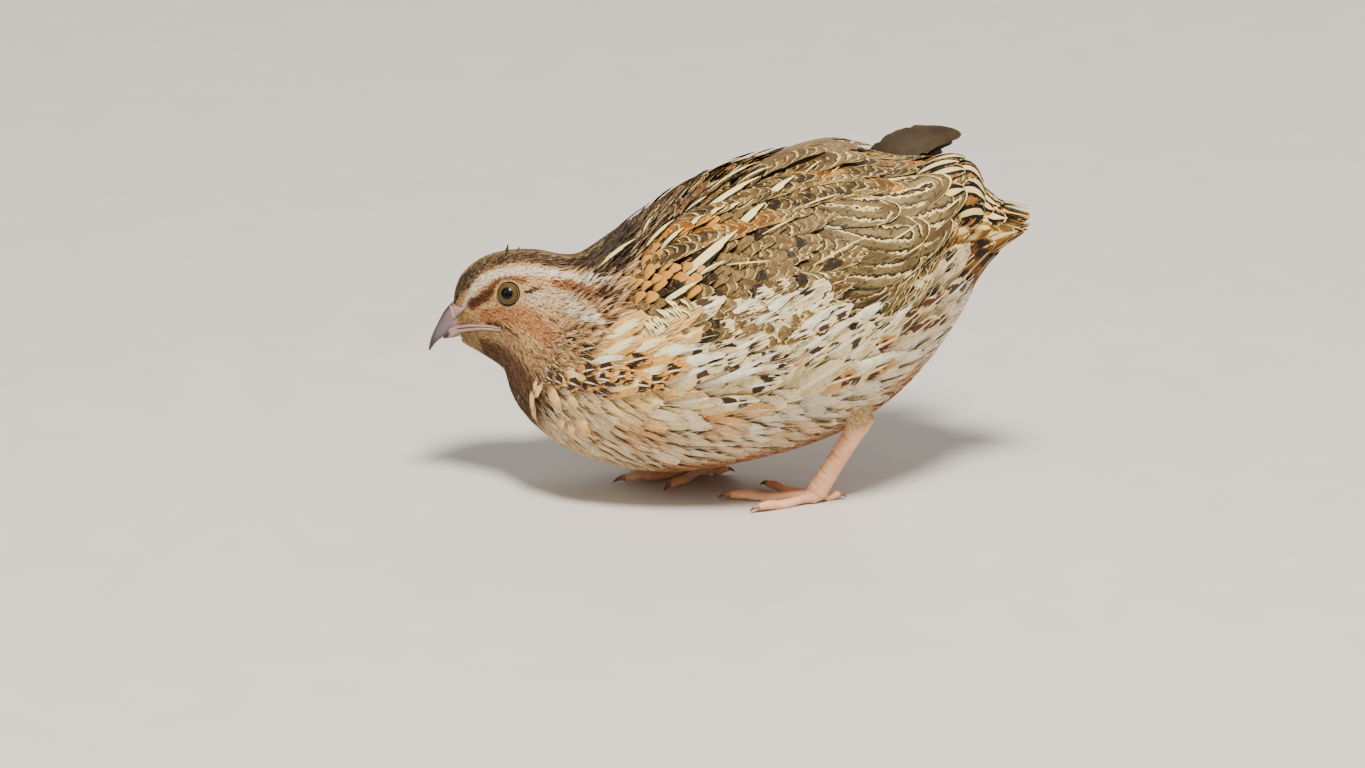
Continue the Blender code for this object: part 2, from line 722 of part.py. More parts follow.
# Legs and feet


def make_thigh(name, knee, cuff, shank):
    """The feathered part of the leg, from inside the body's outline to a cuff round the shank's top."""
    shares = np.linspace(0.0, 1.0, 8)
    knee, cuff = np.array(knee, float), np.array(cuff, float)
    centres = [knee + (cuff - knee) * s for s in shares]
    radii = [THIGH_THICK / 2 + (CUFF_THICK - THIGH_THICK) / 2 * s**1.2 for s in shares]
    radii[-1] *= 0.8
    thigh = tube(name, centres, radii, 16, "body_feather")
    return boolean(thigh, [grown("torso"), make_tarsus("room", *shank, GAP)], "DIFFERENCE")


def make_tarsus(name, start, end, grow=0.0):
    """The bare scaly shank, with a knuckle at each end. A grow above 0 gives a fatter copy."""
    shares = np.linspace(0.0, 1.0, 9)
    start, end = np.array(start, float), np.array(end, float)
    ahead = unit(end - start) * grow
    start, end = start - ahead, end + ahead
    knuckle = [1.0, 1.08, 1.0, 0.94, 0.92, 0.92, 0.95, 1.0, 1.04]
    centres = [start + (end - start) * s for s in shares]
    radii = [TARSUS_THICK / 2 * k + grow for k in knuckle]
    return tube(name, centres, radii, 12, "leg_skin", 1.12)


def toe(name, origin, heading, length, thick, claw):
    """A toe with its knuckles and claw. heading is in degrees from -X, positive towards +Y."""
    ahead = np.array((-math.cos(math.radians(heading)), math.sin(math.radians(heading)), 0.0))
    base = np.array((origin[0], origin[1], TOE_LIFT))
    shares = np.array((-0.08, 0.12, 0.36, 0.52, 0.76, 1.0))
    knuckle = np.array((0.8, 1.0, 0.88, 1.02, 0.84, 0.74))
    centres = [base + ahead * length * s for s in shares]
    tip = centres[-1]
    radii = list(thick / 2 * knuckle)
    for reach, drop, share in ((0.3, 0.0, 0.62), (1.0, -0.7, 0.14)):
        centres.append(tip + ahead * claw * reach + np.array((0, 0, drop)))
        radii.append(thick / 2 * share)
    return tube(name, centres, radii, 8, "leg_skin")


def floor_cutter():
    """A block whose top is the floor."""
    points = [(x, y, z) for z in (-9.0, 0.0) for x, y in ((-90, -60), (90, -60), (90, 60), (-90, 60))]
    faces = [(3, 2, 1, 0), (4, 5, 6, 7), (0, 1, 5, 4), (1, 2, 6, 5), (2, 3, 7, 6), (3, 0, 4, 7)]
    return mesh_object("floor_block", points, faces, "leg_skin")


# Toes of the left foot: name, place beside the pad (x, y), heading, length, thickness, claw
TOES = (
    ("middle", -1.0, 0.0, 0.0, 21.5, 2.7, 3.6),
    ("inner", -0.8, 0.5, 36.0, 15.5, 2.5, 3.0),
    ("outer", -0.8, -0.5, -33.0, 16.5, 2.5, 3.0),
    ("hind", 0.2, 0.8, 168.0, 5.6, 2.2, 2.2),
)


def make_foot(name, place, turn, side, shank):
    """Three toes forward, one short one back, and the pad under the shank."""
    x, y = place
    pad_centres = [(x + 0.5, y, 1.3), (x - 0.6, y, 1.5), (x - 2.2, y, 1.3)]
    pad = tube(name, pad_centres, [2.0, 2.6, 2.1], 10, "leg_skin")
    shank_foot = tube(
        "shank_foot",
        [(x - 0.8, y, 0.8), (x - 0.5, y, 1.8), shank[1] + unit(shank[0] - shank[1]) * 0.8],
        [1.5, 1.9, TARSUS_THICK / 2 * 0.98],
        12,
        "leg_skin",
    )
    toes = [
        toe(label, (x + dx, y + dy * side), (turn + heading) * side, length, thick, claw)
        for label, dx, dy, heading, length, thick, claw in TOES
    ]
    foot = boolean(pad, [shank_foot] + toes, "UNION")
    return boolean(foot, [floor_cutter(), make_tarsus("room", *shank, GAP)], "DIFFERENCE")


def make_legs():
    for side, label, place, heel, knee, shows, turn in (
        (1, "left", LEFT_FOOT, LEFT_HEEL, LEFT_KNEE, LEFT_SHANK, LEFT_TURN),
        (-1, "right", RIGHT_FOOT, RIGHT_HEEL, RIGHT_KNEE, RIGHT_SHANK, RIGHT_TURN),
    ):
        heel = np.array(heel)
        ankle = np.array((*place, ANKLE_HEIGHT))
        up = unit(heel - ankle)
        shank = (ankle + up * shows, ankle + up * SHANK_START)
        make_foot(f"{label}_foot", place, turn, side, shank)
        make_thigh(f"{label}_thigh", knee, ankle + up * (shows - THIGH_CUFF), shank)
        boolean(make_tarsus(f"{label}_tarsus", *shank), [grown("torso")], "DIFFERENCE")


def centre_on_floor():
    """Moves everything so that the middle of its box is over the origin. The floor stays where it is."""
    corners = np.array([vert.co for obj in bpy.data.objects for vert in obj.data.vertices])
    middle = (corners.min(axis=0) + corners.max(axis=0)) / 2
    for obj in bpy.data.objects:
        for vert in obj.data.vertices:
            vert.co -= Vector((middle[0], middle[1], 0.0))


def main():
    clear_scene()
    make_head()
    make_bill()
    make_body()
    make_tail()
    make_wings()
    make_legs()
    centre_on_floor()
    for obj in bpy.data.objects:
        obj.data.shade_smooth()


main()
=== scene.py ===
import itertools
import json
import math

import bmesh
import bpy
import numpy as np
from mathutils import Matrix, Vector
from mathutils.bvhtree import BVHTree
from mathutils.kdtree import KDTree

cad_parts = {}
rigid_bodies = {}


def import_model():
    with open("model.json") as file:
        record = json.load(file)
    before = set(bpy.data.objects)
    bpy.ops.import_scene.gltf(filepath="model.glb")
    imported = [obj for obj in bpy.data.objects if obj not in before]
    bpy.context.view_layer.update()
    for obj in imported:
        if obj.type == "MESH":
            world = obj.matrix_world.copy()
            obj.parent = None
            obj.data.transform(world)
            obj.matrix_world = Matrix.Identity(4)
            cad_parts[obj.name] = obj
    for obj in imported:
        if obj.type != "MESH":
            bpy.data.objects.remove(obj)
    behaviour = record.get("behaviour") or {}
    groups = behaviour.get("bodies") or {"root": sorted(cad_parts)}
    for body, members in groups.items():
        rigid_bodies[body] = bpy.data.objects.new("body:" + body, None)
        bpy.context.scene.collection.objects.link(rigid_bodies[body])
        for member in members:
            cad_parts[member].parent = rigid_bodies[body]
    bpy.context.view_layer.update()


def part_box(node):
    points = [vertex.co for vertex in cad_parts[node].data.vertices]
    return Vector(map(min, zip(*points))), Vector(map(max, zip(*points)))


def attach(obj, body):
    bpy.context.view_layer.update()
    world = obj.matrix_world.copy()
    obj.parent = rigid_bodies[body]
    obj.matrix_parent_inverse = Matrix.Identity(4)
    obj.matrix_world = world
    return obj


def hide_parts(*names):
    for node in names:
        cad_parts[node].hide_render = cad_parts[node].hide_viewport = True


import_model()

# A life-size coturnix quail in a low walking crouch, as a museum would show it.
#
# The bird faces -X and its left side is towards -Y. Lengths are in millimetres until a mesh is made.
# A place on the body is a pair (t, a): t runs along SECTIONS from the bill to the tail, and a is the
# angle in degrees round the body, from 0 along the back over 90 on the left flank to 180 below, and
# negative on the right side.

MM = 0.001
UPWARDS = (0.0, 0.0, 1.0)
SIDES = ((1, "left"), (-1, "right"))

# Each ring of the body's outer coat: top (x, z), bottom (x, z), half width, and how much wider the
# ring is above its middle than below
SECTIONS = (
    (-71.8, 50.9, -69.5, 39.6, 3.7, 0.0),
    (-70.0, 57.2, -65.5, 37.5, 7.0, 0.0),
    (-65.0, 62.0, -61.5, 35.0, 9.6, 0.0),
    (-58.2, 64.2, -58.6, 32.5, 11.4, 0.0),
    (-49.5, 64.4, -57.6, 29.1, 13.4, -0.05),
    (-40.5, 63.1, -56.2, 25.1, 16.4, -0.08),
    (-32.5, 67.3, -53.4, 20.9, 21.6, -0.10),
    (-22.5, 74.1, -48.0, 15.7, 27.6, -0.08),
    (-10.0, 82.0, -37.0, 9.5, 33.4, -0.04),
    (4.0, 87.5, -17.5, 5.7, 36.6, 0.0),
    (18.0, 90.3, 6.0, 8.9, 36.6, 0.03),
    (31.0, 90.5, 28.0, 15.9, 33.4, 0.06),
    (43.5, 88.2, 44.5, 27.0, 26.4, 0.08),
    (54.0, 89.0, 55.6, 40.0, 18.6, 0.08),
    (62.3, 87.8, 63.2, 53.5, 11.8, 0.04),
    (67.0, 79.6, 67.8, 63.0, 7.0, 0.0),
    (78.3, 74.4, 78.3, 71.5, 5.0, 0.0),
)
TAIL_STUMP = 15.6  # where the skin ends

# Where the pieces of the coat begin, as t
CHEEK_START, NECK_START, BREAST_START, FLANK_START, VENT_START = 3.0, 5.2, 7.4, 9.2, 12.4
MANTLE_START, RUMP_START = 6.6, 11.8

# The CAD puts the middle of the whole bird's box over the origin; BILL_TIP is the bill's own end
BILL_TIP = -78.4
SHIFT = np.array((
    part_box("upper_bill")[0][0] / MM - BILL_TIP,
    (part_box("upper_bill")[0][1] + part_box("upper_bill")[1][1]) / 2 / MM,
    0.0,
))

# Head
EYE_X, EYE_Z = -57.4, 56.1
EYE_OPENING = 2.85
EYE_BALL = 3.7
SOCKET, SOCKET_DEPTH = 2.95, 2.2  # the bowl in the skin under each eye
MOUTH_GROOVE = 0.55
LID_THICK = 0.2
EYE_REACH = (3.2, 6.0)  # feathers grow to their full length between these distances from an eye
UPPER_BILL = (  # ridge (x, z), edge over the mouth (x, z), half width
    (-71.95, 50.5, -70.7, 44.5, 3.6),
    (-73.9, 48.6, -72.1, 43.6, 3.0),
    (-75.4, 46.0, -73.6, 42.5, 2.4),
    (-76.7, 43.3, -75.3, 41.1, 1.75),
    (-77.8, 40.6, -76.9, 39.3, 1.05),
    (-78.4, 37.6, -78.0, 37.4, 0.35),
)
LOWER_BILL = (
    (-70.6, 43.9, -70.1, 41.6, 3.2),
    (-71.9, 43.1, -71.5, 41.1, 2.6),
    (-73.2, 42.2, -73.0, 40.8, 1.8),
    (-74.6, 41.0, -74.5, 40.6, 0.7),
)
MOUTH_TIP, MOUTH_BEND, GAPE = (-76.7, 39.3), (-68.5, 48.2), (-58.8, 46.4)

# Folded wing
WING_FRONT, WING_REAR = 7.0, 14.1
WING_UPPER = (
    (7.0, 48.0), (7.4, 38.0), (8.2, 29.0), (9.5, 20.0), (11.0, 14.0), (12.5, 11.0), (14.1, 15.0),
)
WING_LOWER = (
    (7.0, 54.0), (7.6, 72.0), (8.6, 80.0), (9.8, 86.0), (11.0, 92.0),
    (11.9, 93.0), (12.8, 85.0), (13.4, 71.0), (13.85, 52.0), (14.1, 30.0),
)

# Legs
LEFT_FOOT = (23.0, -13.0)
LEFT_HEEL = (37.0, -16.0, 27.5)
LEFT_KNEE = (30.0, -14.0, 38.0)
LEFT_SHANK = 23.8
RIGHT_FOOT = (-6.0, 9.5)
RIGHT_HEEL = (18.0, 11.5, 17.5)
RIGHT_KNEE = (14.0, 10.0, 21.0)
RIGHT_SHANK = 7.2
LEFT_TURN, RIGHT_TURN = 4.0, 20.0
THIGH_CUFF = 1.4
THIGH_THICK, CUFF_THICK = 11.5, 7.6
TARSUS_THICK = 4.8
TOE_LIFT = 1.25
TOE_SCUTE, SHANK_SCUTE, REAR_SCUTE = 1.15, 1.9, 0.9  # how long the plates of skin are
ANKLE_HEIGHT = 3.0
FLOOR_GAP = 0.02  # how far skin and claws stay above the floor
SHANK_START = 1.2
TOES = (  # name, place (x, y), heading in degrees, length, thickness and claw
    ("middle", -1.0, 0.0, 0.0, 21.5, 2.7, 3.6),
    ("inner", -0.8, 0.5, 36.0, 15.5, 2.5, 3.0),
    ("outer", -0.8, -0.5, -33.0, 16.5, 2.5, 3.0),
    ("hind", 0.2, 0.8, 168.0, 5.6, 2.2, 2.2),
)


# Curves and the surface of the body


def unit(vector):
    vector = np.asarray(vector, float)
    return vector / np.linalg.norm(vector, axis=-1, keepdims=True)


def cubic(rows):
    """A smooth curve through rows at 0, 1, 2 and so on, as a function of one array."""
    rows = np.asarray(rows, float)
    last = len(rows) - 1
    matrix = np.eye(last + 1) * 4.0
    right = np.zeros_like(rows)
    for i in range(1, last):
        matrix[i, i - 1] = matrix[i, i + 1] = 1.0
        right[i] = 6.0 * (rows[i - 1] - 2.0 * rows[i] + rows[i + 1])
    matrix[0, 0] = matrix[last, last] = 1.0
    bend = np.linalg.solve(matrix, right)

    def at(t):
        t = np.clip(t, 0.0, last)
        i = np.minimum(t.astype(int), last - 1)
        far = (t - i)[..., None]
        near = 1.0 - far
        line = near * rows[i] + far * rows[i + 1]
        return line + ((near**3 - near) * bend[i] + (far**3 - far) * bend[i + 1]) / 6.0

    return at


ring_at = cubic(SECTIONS)


def coat(t, a):
    """The point of the outer coat at t and a."""
    t, a = np.broadcast_arrays(np.asarray(t, float), np.radians(np.asarray(a, float)))
    top_x, top_z, low_x, low_z, half, egg = np.moveaxis(ring_at(t), -1, 0)
    up, side = np.cos(a), np.sin(a)
    return np.stack(
        [
            (top_x + low_x) / 2 + (top_x - low_x) / 2 * up,
            -half * side * (1 + egg * up),
            (top_z + low_z) / 2 + (top_z - low_z) / 2 * up,
        ],
        -1,
    )


def slopes(t, a):
    """The coat's derivatives along t and along a, and its outward normal."""
    step = 1e-3
    along = (coat(t + step, a) - coat(t - step, a)) / (2 * step)
    round_ = (coat(t, a + step) - coat(t, a - step)) / (2 * step)
    normal = np.cross(round_, along)
    length = np.linalg.norm(normal, axis=-1, keepdims=True)
    return along, round_, normal / np.maximum(length, 1e-9)


def surface(t, a, out=0.0):
    """The point out millimetres outside the coat at t and a."""
    t, a, out = np.broadcast_arrays(*(np.asarray(v, float) for v in (t, a, out)))
    return coat(t, a) + slopes(t, a)[2] * out[..., None]


def dot(one, other):
    return (one * other).sum(axis=-1)


def ease(x):
    x = np.clip(x, 0.0, 1.0)
    return x * x * (3.0 - 2.0 * x)


def border(points, t):
    return np.interp(t, [p[0] for p in points], [p[1] for p in points])


def fold_angle(a):
    """The angle's size, the same on both sides, from 0 along the back to 180 below."""
    return np.abs((np.asarray(a, float) + 180.0) % 360.0 - 180.0)


def wing_share(t, a):
    """1 well inside a folded wing's place on either side, 0 on its border and outside."""
    a = fold_angle(a)
    upper, lower = border(WING_UPPER, t), border(WING_LOWER, t)
    ends = ease((t - WING_FRONT) / 0.8) * ease((WING_REAR - t) / 0.8)
    return ends * ease((a - upper) / 12.0) * ease((lower - a) / 14.0)


def noise(points, size, seed):
    """Smooth random values from 0 to 1, with features of about size."""
    spot = np.asarray(points, float) / size + seed * 17.31
    cell = np.floor(spot).astype(np.int64)
    part = ease(spot - cell)
    total = np.zeros(spot.shape[:-1])
    for corner in itertools.product((0, 1), repeat=3):
        at = cell + np.array(corner)
        mixed = at[..., 0] * 73856093 ^ at[..., 1] * 19349663 ^ at[..., 2] * 83492791
        mixed = (mixed ^ (mixed >> 13)) * 1274126177
        value = ((mixed ^ (mixed >> 16)) & 0xFFFF) / 65535.0
        total += value * np.where(corner, part, 1 - part).prod(axis=-1)
    return total


def place_on_head(x, z):
    """(t, a) of the point of the left side of the head that has this x and z."""
    ts, angles = np.meshgrid(np.linspace(0.1, 5.2, 256), np.linspace(20.0, 150.0, 261), indexing="ij")
    points = coat(ts, angles)
    best = np.hypot(points[..., 0] - x, points[..., 2] - z).argmin()
    return ts.flat[best], angles.flat[best]


def eye_frame(side):
    """Middle of the eye's opening on the coat, and the outward direction there."""
    t, a = place_on_head(EYE_X, EYE_Z)
    mirror = np.array((1.0, side, 1.0))
    return surface(t, a) * mirror, slopes(np.array(t), np.array(a))[2] * mirror


EYES = {side: eye_frame(side) for side in (1, -1)}


def mouth_line(share):
    """(x, z) on the mouth line: 0 at the bill's tip, 1 at the corner of the mouth."""
    share = np.asarray(share)[..., None]
    tip, bend, corner = (np.array(point) for point in (MOUTH_TIP, MOUTH_BEND, GAPE))
    return (1 - share) ** 2 * tip + 2 * share * (1 - share) * bend + share**2 * corner


def away_from(points, line):
    """Distance of each point from a chain of points."""
    best = np.full(points.shape[:-1], np.inf)
    for start, end in zip(line[:-1], line[1:]):
        step = end - start
        share = np.clip(dot(points - start, step) / dot(step, step), 0.0, 1.0)
        near = start + share[..., None] * step
        best = np.minimum(best, np.linalg.norm(points - near, axis=-1))
    return best


# Meshes


def shade(obj, finish):
    obj.data.materials.clear()
    obj.data.materials.append(finish)
    return obj


def link(name, data):
    obj = bpy.data.objects.new(name, data)
    bpy.context.scene.collection.objects.link(obj)
    return obj


def new_object(name, data, finish, slot, replaced=()):
    obj = shade(link(name, data), finish)
    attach(obj, "root")
    if replaced:
        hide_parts(*replaced)
    return obj


def face_outwards(mesh):
    work = bmesh.new()
    work.from_mesh(mesh)
    bmesh.ops.recalc_face_normals(work, faces=work.faces)
    work.to_mesh(mesh)
    work.free()


def tree_of(points):
    tree = KDTree(len(points))
    for i, point in enumerate(points):
        tree.insert(point, i)
    tree.balance()
    return tree


def fields(*values):
    """Values of one shape, or that stretch to it, as the last axis of one array."""
    return np.stack(np.broadcast_arrays(*values), -1)


def columns(table):
    """A table's columns as arrays."""
    return [np.array(column) for column in zip(*table)]


def build_mesh(name, points, quads, triangles, sharp=None):
    """A mesh from points in millimetres and arrays of faces."""
    mesh = bpy.data.meshes.new(name)
    points = np.asarray(points, float).reshape(-1, 3)
    quads = np.asarray(quads, np.int32).reshape(-1, 4)
    triangles = np.asarray(triangles, np.int32).reshape(-1, 3)
    mesh.vertices.add(len(points))
    mesh.vertices.foreach_set("co", ((points + SHIFT) * MM).ravel().astype(np.float32))
    corners = np.concatenate([quads.ravel(), triangles.ravel()])
    starts = np.concatenate(
        [np.arange(len(quads)) * 4, quads.size + np.arange(len(triangles)) * 3]
    )
    mesh.loops.add(len(corners))
    mesh.loops.foreach_set("vertex_index", corners)
    mesh.polygons.add(len(starts))
    mesh.polygons.foreach_set("loop_start", starts.astype(np.int32))
    mesh.update(calc_edges=True)
    mesh.validate()
    mesh.shade_smooth()
    if sharp:
        mesh.set_sharp_from_angle(angle=math.radians(sharp))
    return mesh


def add_map(mesh, name, uv):
    """A UV map from one (u, v) for each vertex."""
    corner = np.empty(len(mesh.loops), np.int32)
    mesh.loops.foreach_get("vertex_index", corner)
    layer = mesh.uv_layers.new(name=name)
    layer.uv.foreach_set("vector", np.asarray(uv, np.float32)[corner].ravel())


def add_colour(mesh, name, values):
    """A colour with alpha for each vertex, kept as numbers for the material."""
    layer = mesh.attributes.new(name, "FLOAT_COLOR", "POINT")
    layer.data.foreach_set("color", np.asarray(values, np.float32).ravel())


# Looks of the feathers: colours as sRGB, and how the marks are laid out on one feather


def linear(colour):
    colour = np.asarray(colour, float) / 255.0
    return np.where(colour <= 0.04045, colour / 12.92, ((colour + 0.055) / 1.055) ** 2.4)


GREY_SHARES = (0.21, 0.72, 0.07)
RICHNESS = 1.4  # how much stronger a feather's own colours are than they look in bright light


def rich(colour):
    colour = linear(colour)
    grey = colour @ GREY_SHARES
    return np.clip(grey + (colour - grey) * RICHNESS, 0.002, 1.0)


def look(ground, dark=(48, 32, 24), pale=(240, 222, 182), bar=0.0, count=3.0, streak=0.0,
         fringe=0.0, spot=0.0, rim=0.0, lace=0.0, nest=0.0):
    """bar is how strong the dark bars are and count how many there are. streak is the width of the
    pale shaft streak and rim that of its dark border, as shares of the feather's half width. fringe
    is the width of the pale edge in millimetres. spot is the strength of the dark spots. lace is the
    strength of thin pale lines with a dark inner edge, which cross the feather where nest is 0 and
    follow its outline where nest is 1."""
    return np.array((*rich(ground), *rich(dark), *rich(pale), bar, count, streak, fringe, spot, rim,
                     lace, nest))


LOOKS = {
    "crown": look((104, 80, 56), (34, 24, 18), (180, 148, 108), bar=0.8, count=1.3, spot=0.4),
    "crown_dark": look((44, 32, 24), (24, 17, 13), (120, 92, 62), bar=0.5, count=1.3),
    "crown_buff": look((176, 142, 104), (60, 42, 30), (210, 178, 136), bar=0.5, count=1.3),
    "crown_edge": look((142, 100, 62), (58, 38, 26), (196, 152, 106), bar=0.55, count=1.3),
    "crown_stripe": look((200, 168, 118), (92, 68, 46), (230, 204, 156), bar=0.3),
    "brow": look((250, 238, 208), (214, 180, 134), (254, 248, 230), streak=0.12),
    "lores": look((140, 82, 42), (84, 46, 25), (178, 122, 72), bar=0.3, count=1.0),
    "lores_dark": look((92, 56, 32), (54, 32, 20), (146, 92, 54), bar=0.3, count=1.0),
    "eye_edge": look((198, 166, 118), (120, 86, 54), (232, 208, 160)),
    "face": look((222, 182, 132), (170, 116, 74), (242, 214, 166), bar=0.2, count=1.2),
    "lore_pale": look((232, 196, 136), (180, 130, 82), (246, 222, 170), bar=0.1, count=1.2),
    "cheek": look((204, 142, 94), (140, 86, 54), (234, 188, 138), bar=0.35, count=1.2),
    "fleck": look((124, 78, 50), (84, 52, 34), (180, 128, 84), bar=0.2),
    "mouth": look((104, 64, 40), (66, 40, 26), (150, 100, 66)),
    "malar": look((214, 172, 124), (122, 80, 54), (240, 212, 166), bar=0.5, count=1.1),
    "ear": look((222, 196, 160), (180, 142, 106), (242, 224, 194), bar=0.15, count=1.2, streak=0.1),
    "white": look((250, 240, 214), (214, 186, 146), (255, 250, 236)),
    "rufous": look((158, 96, 58), (86, 50, 32), (208, 158, 110), bar=0.4, count=1.3, streak=0.1),
    "neck_dark": look((66, 44, 30), (36, 24, 18), (130, 90, 58), bar=0.4, count=1.0),
    "throat": look((122, 82, 50), (48, 30, 20), (196, 156, 106), bar=0.7, count=1.1),
    "collar": look((236, 204, 156), (150, 102, 64), (250, 232, 194), bar=0.15, count=1.2),
    "shaft": look((246, 228, 184), (210, 176, 120), (252, 240, 206)),
    "nape": look((112, 78, 48), (32, 22, 16), (230, 200, 146), bar=0.75, count=1.5, streak=0.2, rim=0.4),
    "neck": look((214, 164, 108), (92, 56, 34), (248, 230, 186),
        bar=0.2, count=1.3, streak=0.16, spot=0.35),
    "neck_fleck": look((198, 136, 82), (52, 34, 24), (244, 222, 172), streak=0.14, spot=1.0),
    "breast_top": look((232, 190, 130), (128, 76, 44), (250, 236, 198), streak=0.10, spot=0.1),
    "breast_spot": look((212, 158, 104), (50, 32, 23), (250, 234, 196), streak=0.1, spot=1.0),
    "breast": look((238, 212, 164), (200, 154, 104), (252, 242, 214), streak=0.08),
    "breast_warm": look((228, 180, 124), (186, 132, 84), (250, 234, 196), streak=0.08),
    "breast_side": look((222, 178, 124), (116, 72, 46), (252, 238, 200), streak=0.34, spot=0.25),
    "breast_light": look((246, 228, 184), (206, 162, 108), (254, 246, 220), streak=0.08),
    "side": look((246, 230, 198), (206, 168, 124), (254, 249, 234), streak=0.06),
    "belly": look((234, 206, 166), (190, 146, 100), (250, 236, 206), streak=0.05),
    "under": look((202, 138, 84), (140, 84, 46), (230, 180, 122)),
    "flank": look((234, 214, 176), (92, 66, 44), (254, 247, 226), streak=0.14),
    "flank_spot": look((240, 220, 180), (52, 38, 28), (255, 249, 232), streak=0.12, spot=1.0),
    "flank_grey": look((236, 216, 176), (70, 54, 40), (255, 250, 236), streak=0.14, spot=1.0),
    "flank_rufous": look((212, 162, 116), (66, 40, 27), (252, 238, 204), streak=0.14, spot=0.9),
    "vent": look((248, 230, 192), (170, 126, 88), (255, 250, 236), streak=0.06),
    "vent_spot": look((236, 208, 164), (84, 54, 34), (254, 248, 230), streak=0.1, spot=0.8),
    "mantle": look((128, 92, 58), (26, 18, 14), (232, 200, 146),
        bar=0.85, count=1.6, spot=0.3, lace=0.85),
    "mantle_rufous": look((166, 110, 64), (38, 26, 19), (236, 204, 150),
        bar=0.5, count=1.5, spot=0.5, lace=0.7),
    "mantle_grey": look((124, 100, 70), (40, 29, 22), (232, 208, 160), bar=0.5, count=1.7, lace=0.9),
    "mantle_streak": look((128, 88, 54), (24, 17, 13), (246, 226, 174),
        bar=0.7, count=2.2, streak=0.26, rim=0.6),
    "rump": look((160, 108, 62), (18, 12, 10), (244, 222, 172),
        bar=1.0, count=1.7, streak=0.24, rim=0.3, fringe=0.2),
    "rump_side": look((196, 144, 88), (34, 22, 16), (244, 224, 176),
        bar=0.7, count=1.5, streak=0.24, fringe=0.2),
    "undertail": look((122, 66, 30), (26, 14, 10), (216, 178, 122),
        bar=0.8, count=1.3, streak=0.14, spot=0.9),
    "bend": look((196, 150, 102), (150, 106, 70), (222, 188, 144), bar=0.15, count=1.5),
    "covert": look((120, 97, 70), (50, 36, 26), (228, 206, 160), bar=0.25, count=2.0, lace=0.65),
    "covert_plain": look((136, 111, 82), (78, 58, 40), (216, 194, 154), bar=0.2, count=2.0, lace=0.25),
    "covert_dark": look((122, 94, 64), (34, 24, 18), (236, 212, 162),
        bar=0.3, count=1.6, spot=0.9, lace=0.8),
    "covert_bar": look((124, 100, 72), (36, 26, 19), (238, 216, 166), bar=0.3, count=2.0, lace=1.0),
    "scapular": look((132, 96, 60), (28, 20, 15), (250, 234, 188),
        bar=0.5, count=2.2, streak=0.30, rim=0.38),
    "scapular_plain": look((120, 96, 67), (30, 22, 17), (238, 214, 164),
        bar=0.55, count=1.8, spot=0.6, lace=1.0),
    "tertial": look((118, 99, 74), (32, 24, 18), (240, 220, 172),
        bar=0.12, count=3.0, fringe=0.4, lace=1.0, nest=1.0),
    "secondary": look((80, 63, 45), (32, 23, 17), (238, 214, 164), fringe=0.6, lace=0.9, nest=0.6),
    "primary": look((76, 57, 39), (36, 26, 19), (232, 206, 154), fringe=0.6, lace=1.0),
    "raised": look((46, 37, 25), (32, 26, 18), (92, 78, 56), fringe=0.4),
    "tail": look((150, 106, 66), (30, 21, 16), (242, 220, 168),
        bar=0.85, count=2.4, streak=0.2, fringe=0.2),
    "thigh": look((230, 190, 142), (190, 142, 96), (246, 224, 184)),
}
BAR, COUNT, STREAK, FRINGE, SPOT, RIM, LACE, NEST = range(9, 17)
WING_SHADE = 0.6  # how much darker the ground of wing, rump and tail is than it was read
PALE_SHADE = 0.9  # and how much darker their pale marks are
for shaded in (
    "covert", "covert_plain", "covert_dark", "covert_bar", "scapular_plain", "tertial", "secondary",
    "primary", "rump", "rump_side", "tail", "undertail", "mantle_grey",
):
    LOOKS[shaded][0:6] *= WING_SHADE
    LOOKS[shaded][6:9] *= PALE_SHADE


def looks_of(names):
    """The table's rows for an array of names."""
    return np.array([LOOKS[name] for name in names])


# Materials

LACE_STEP = 2.7  # millimetres between the thin pale lines across a feather
SPOT_RADIUS = 2.0
VANE_ROUGHNESS = 0.62
SIZE_UNIT, COUNT_UNIT = 50.0, 16.0  # a mesh carries sizes and counts as shares of these


class Value:
    """A number or colour in a node tree, with sums and products that add the nodes they need."""

    def __init__(self, graph, socket):
        self.graph, self.socket = graph, socket

    def __add__(self, other):
        return self.graph.math("ADD", self, other)

    def __sub__(self, other):
        return self.graph.math("SUBTRACT", self, other)

    def __rsub__(self, other):
        return self.graph.math("SUBTRACT", other, self)

    def __mul__(self, other):
        return self.graph.math("MULTIPLY", self, other)

    def __truediv__(self, other):
        return self.graph.math("DIVIDE", self, other)

    def __gt__(self, other):
        return self.graph.math("GREATER_THAN", self, other)


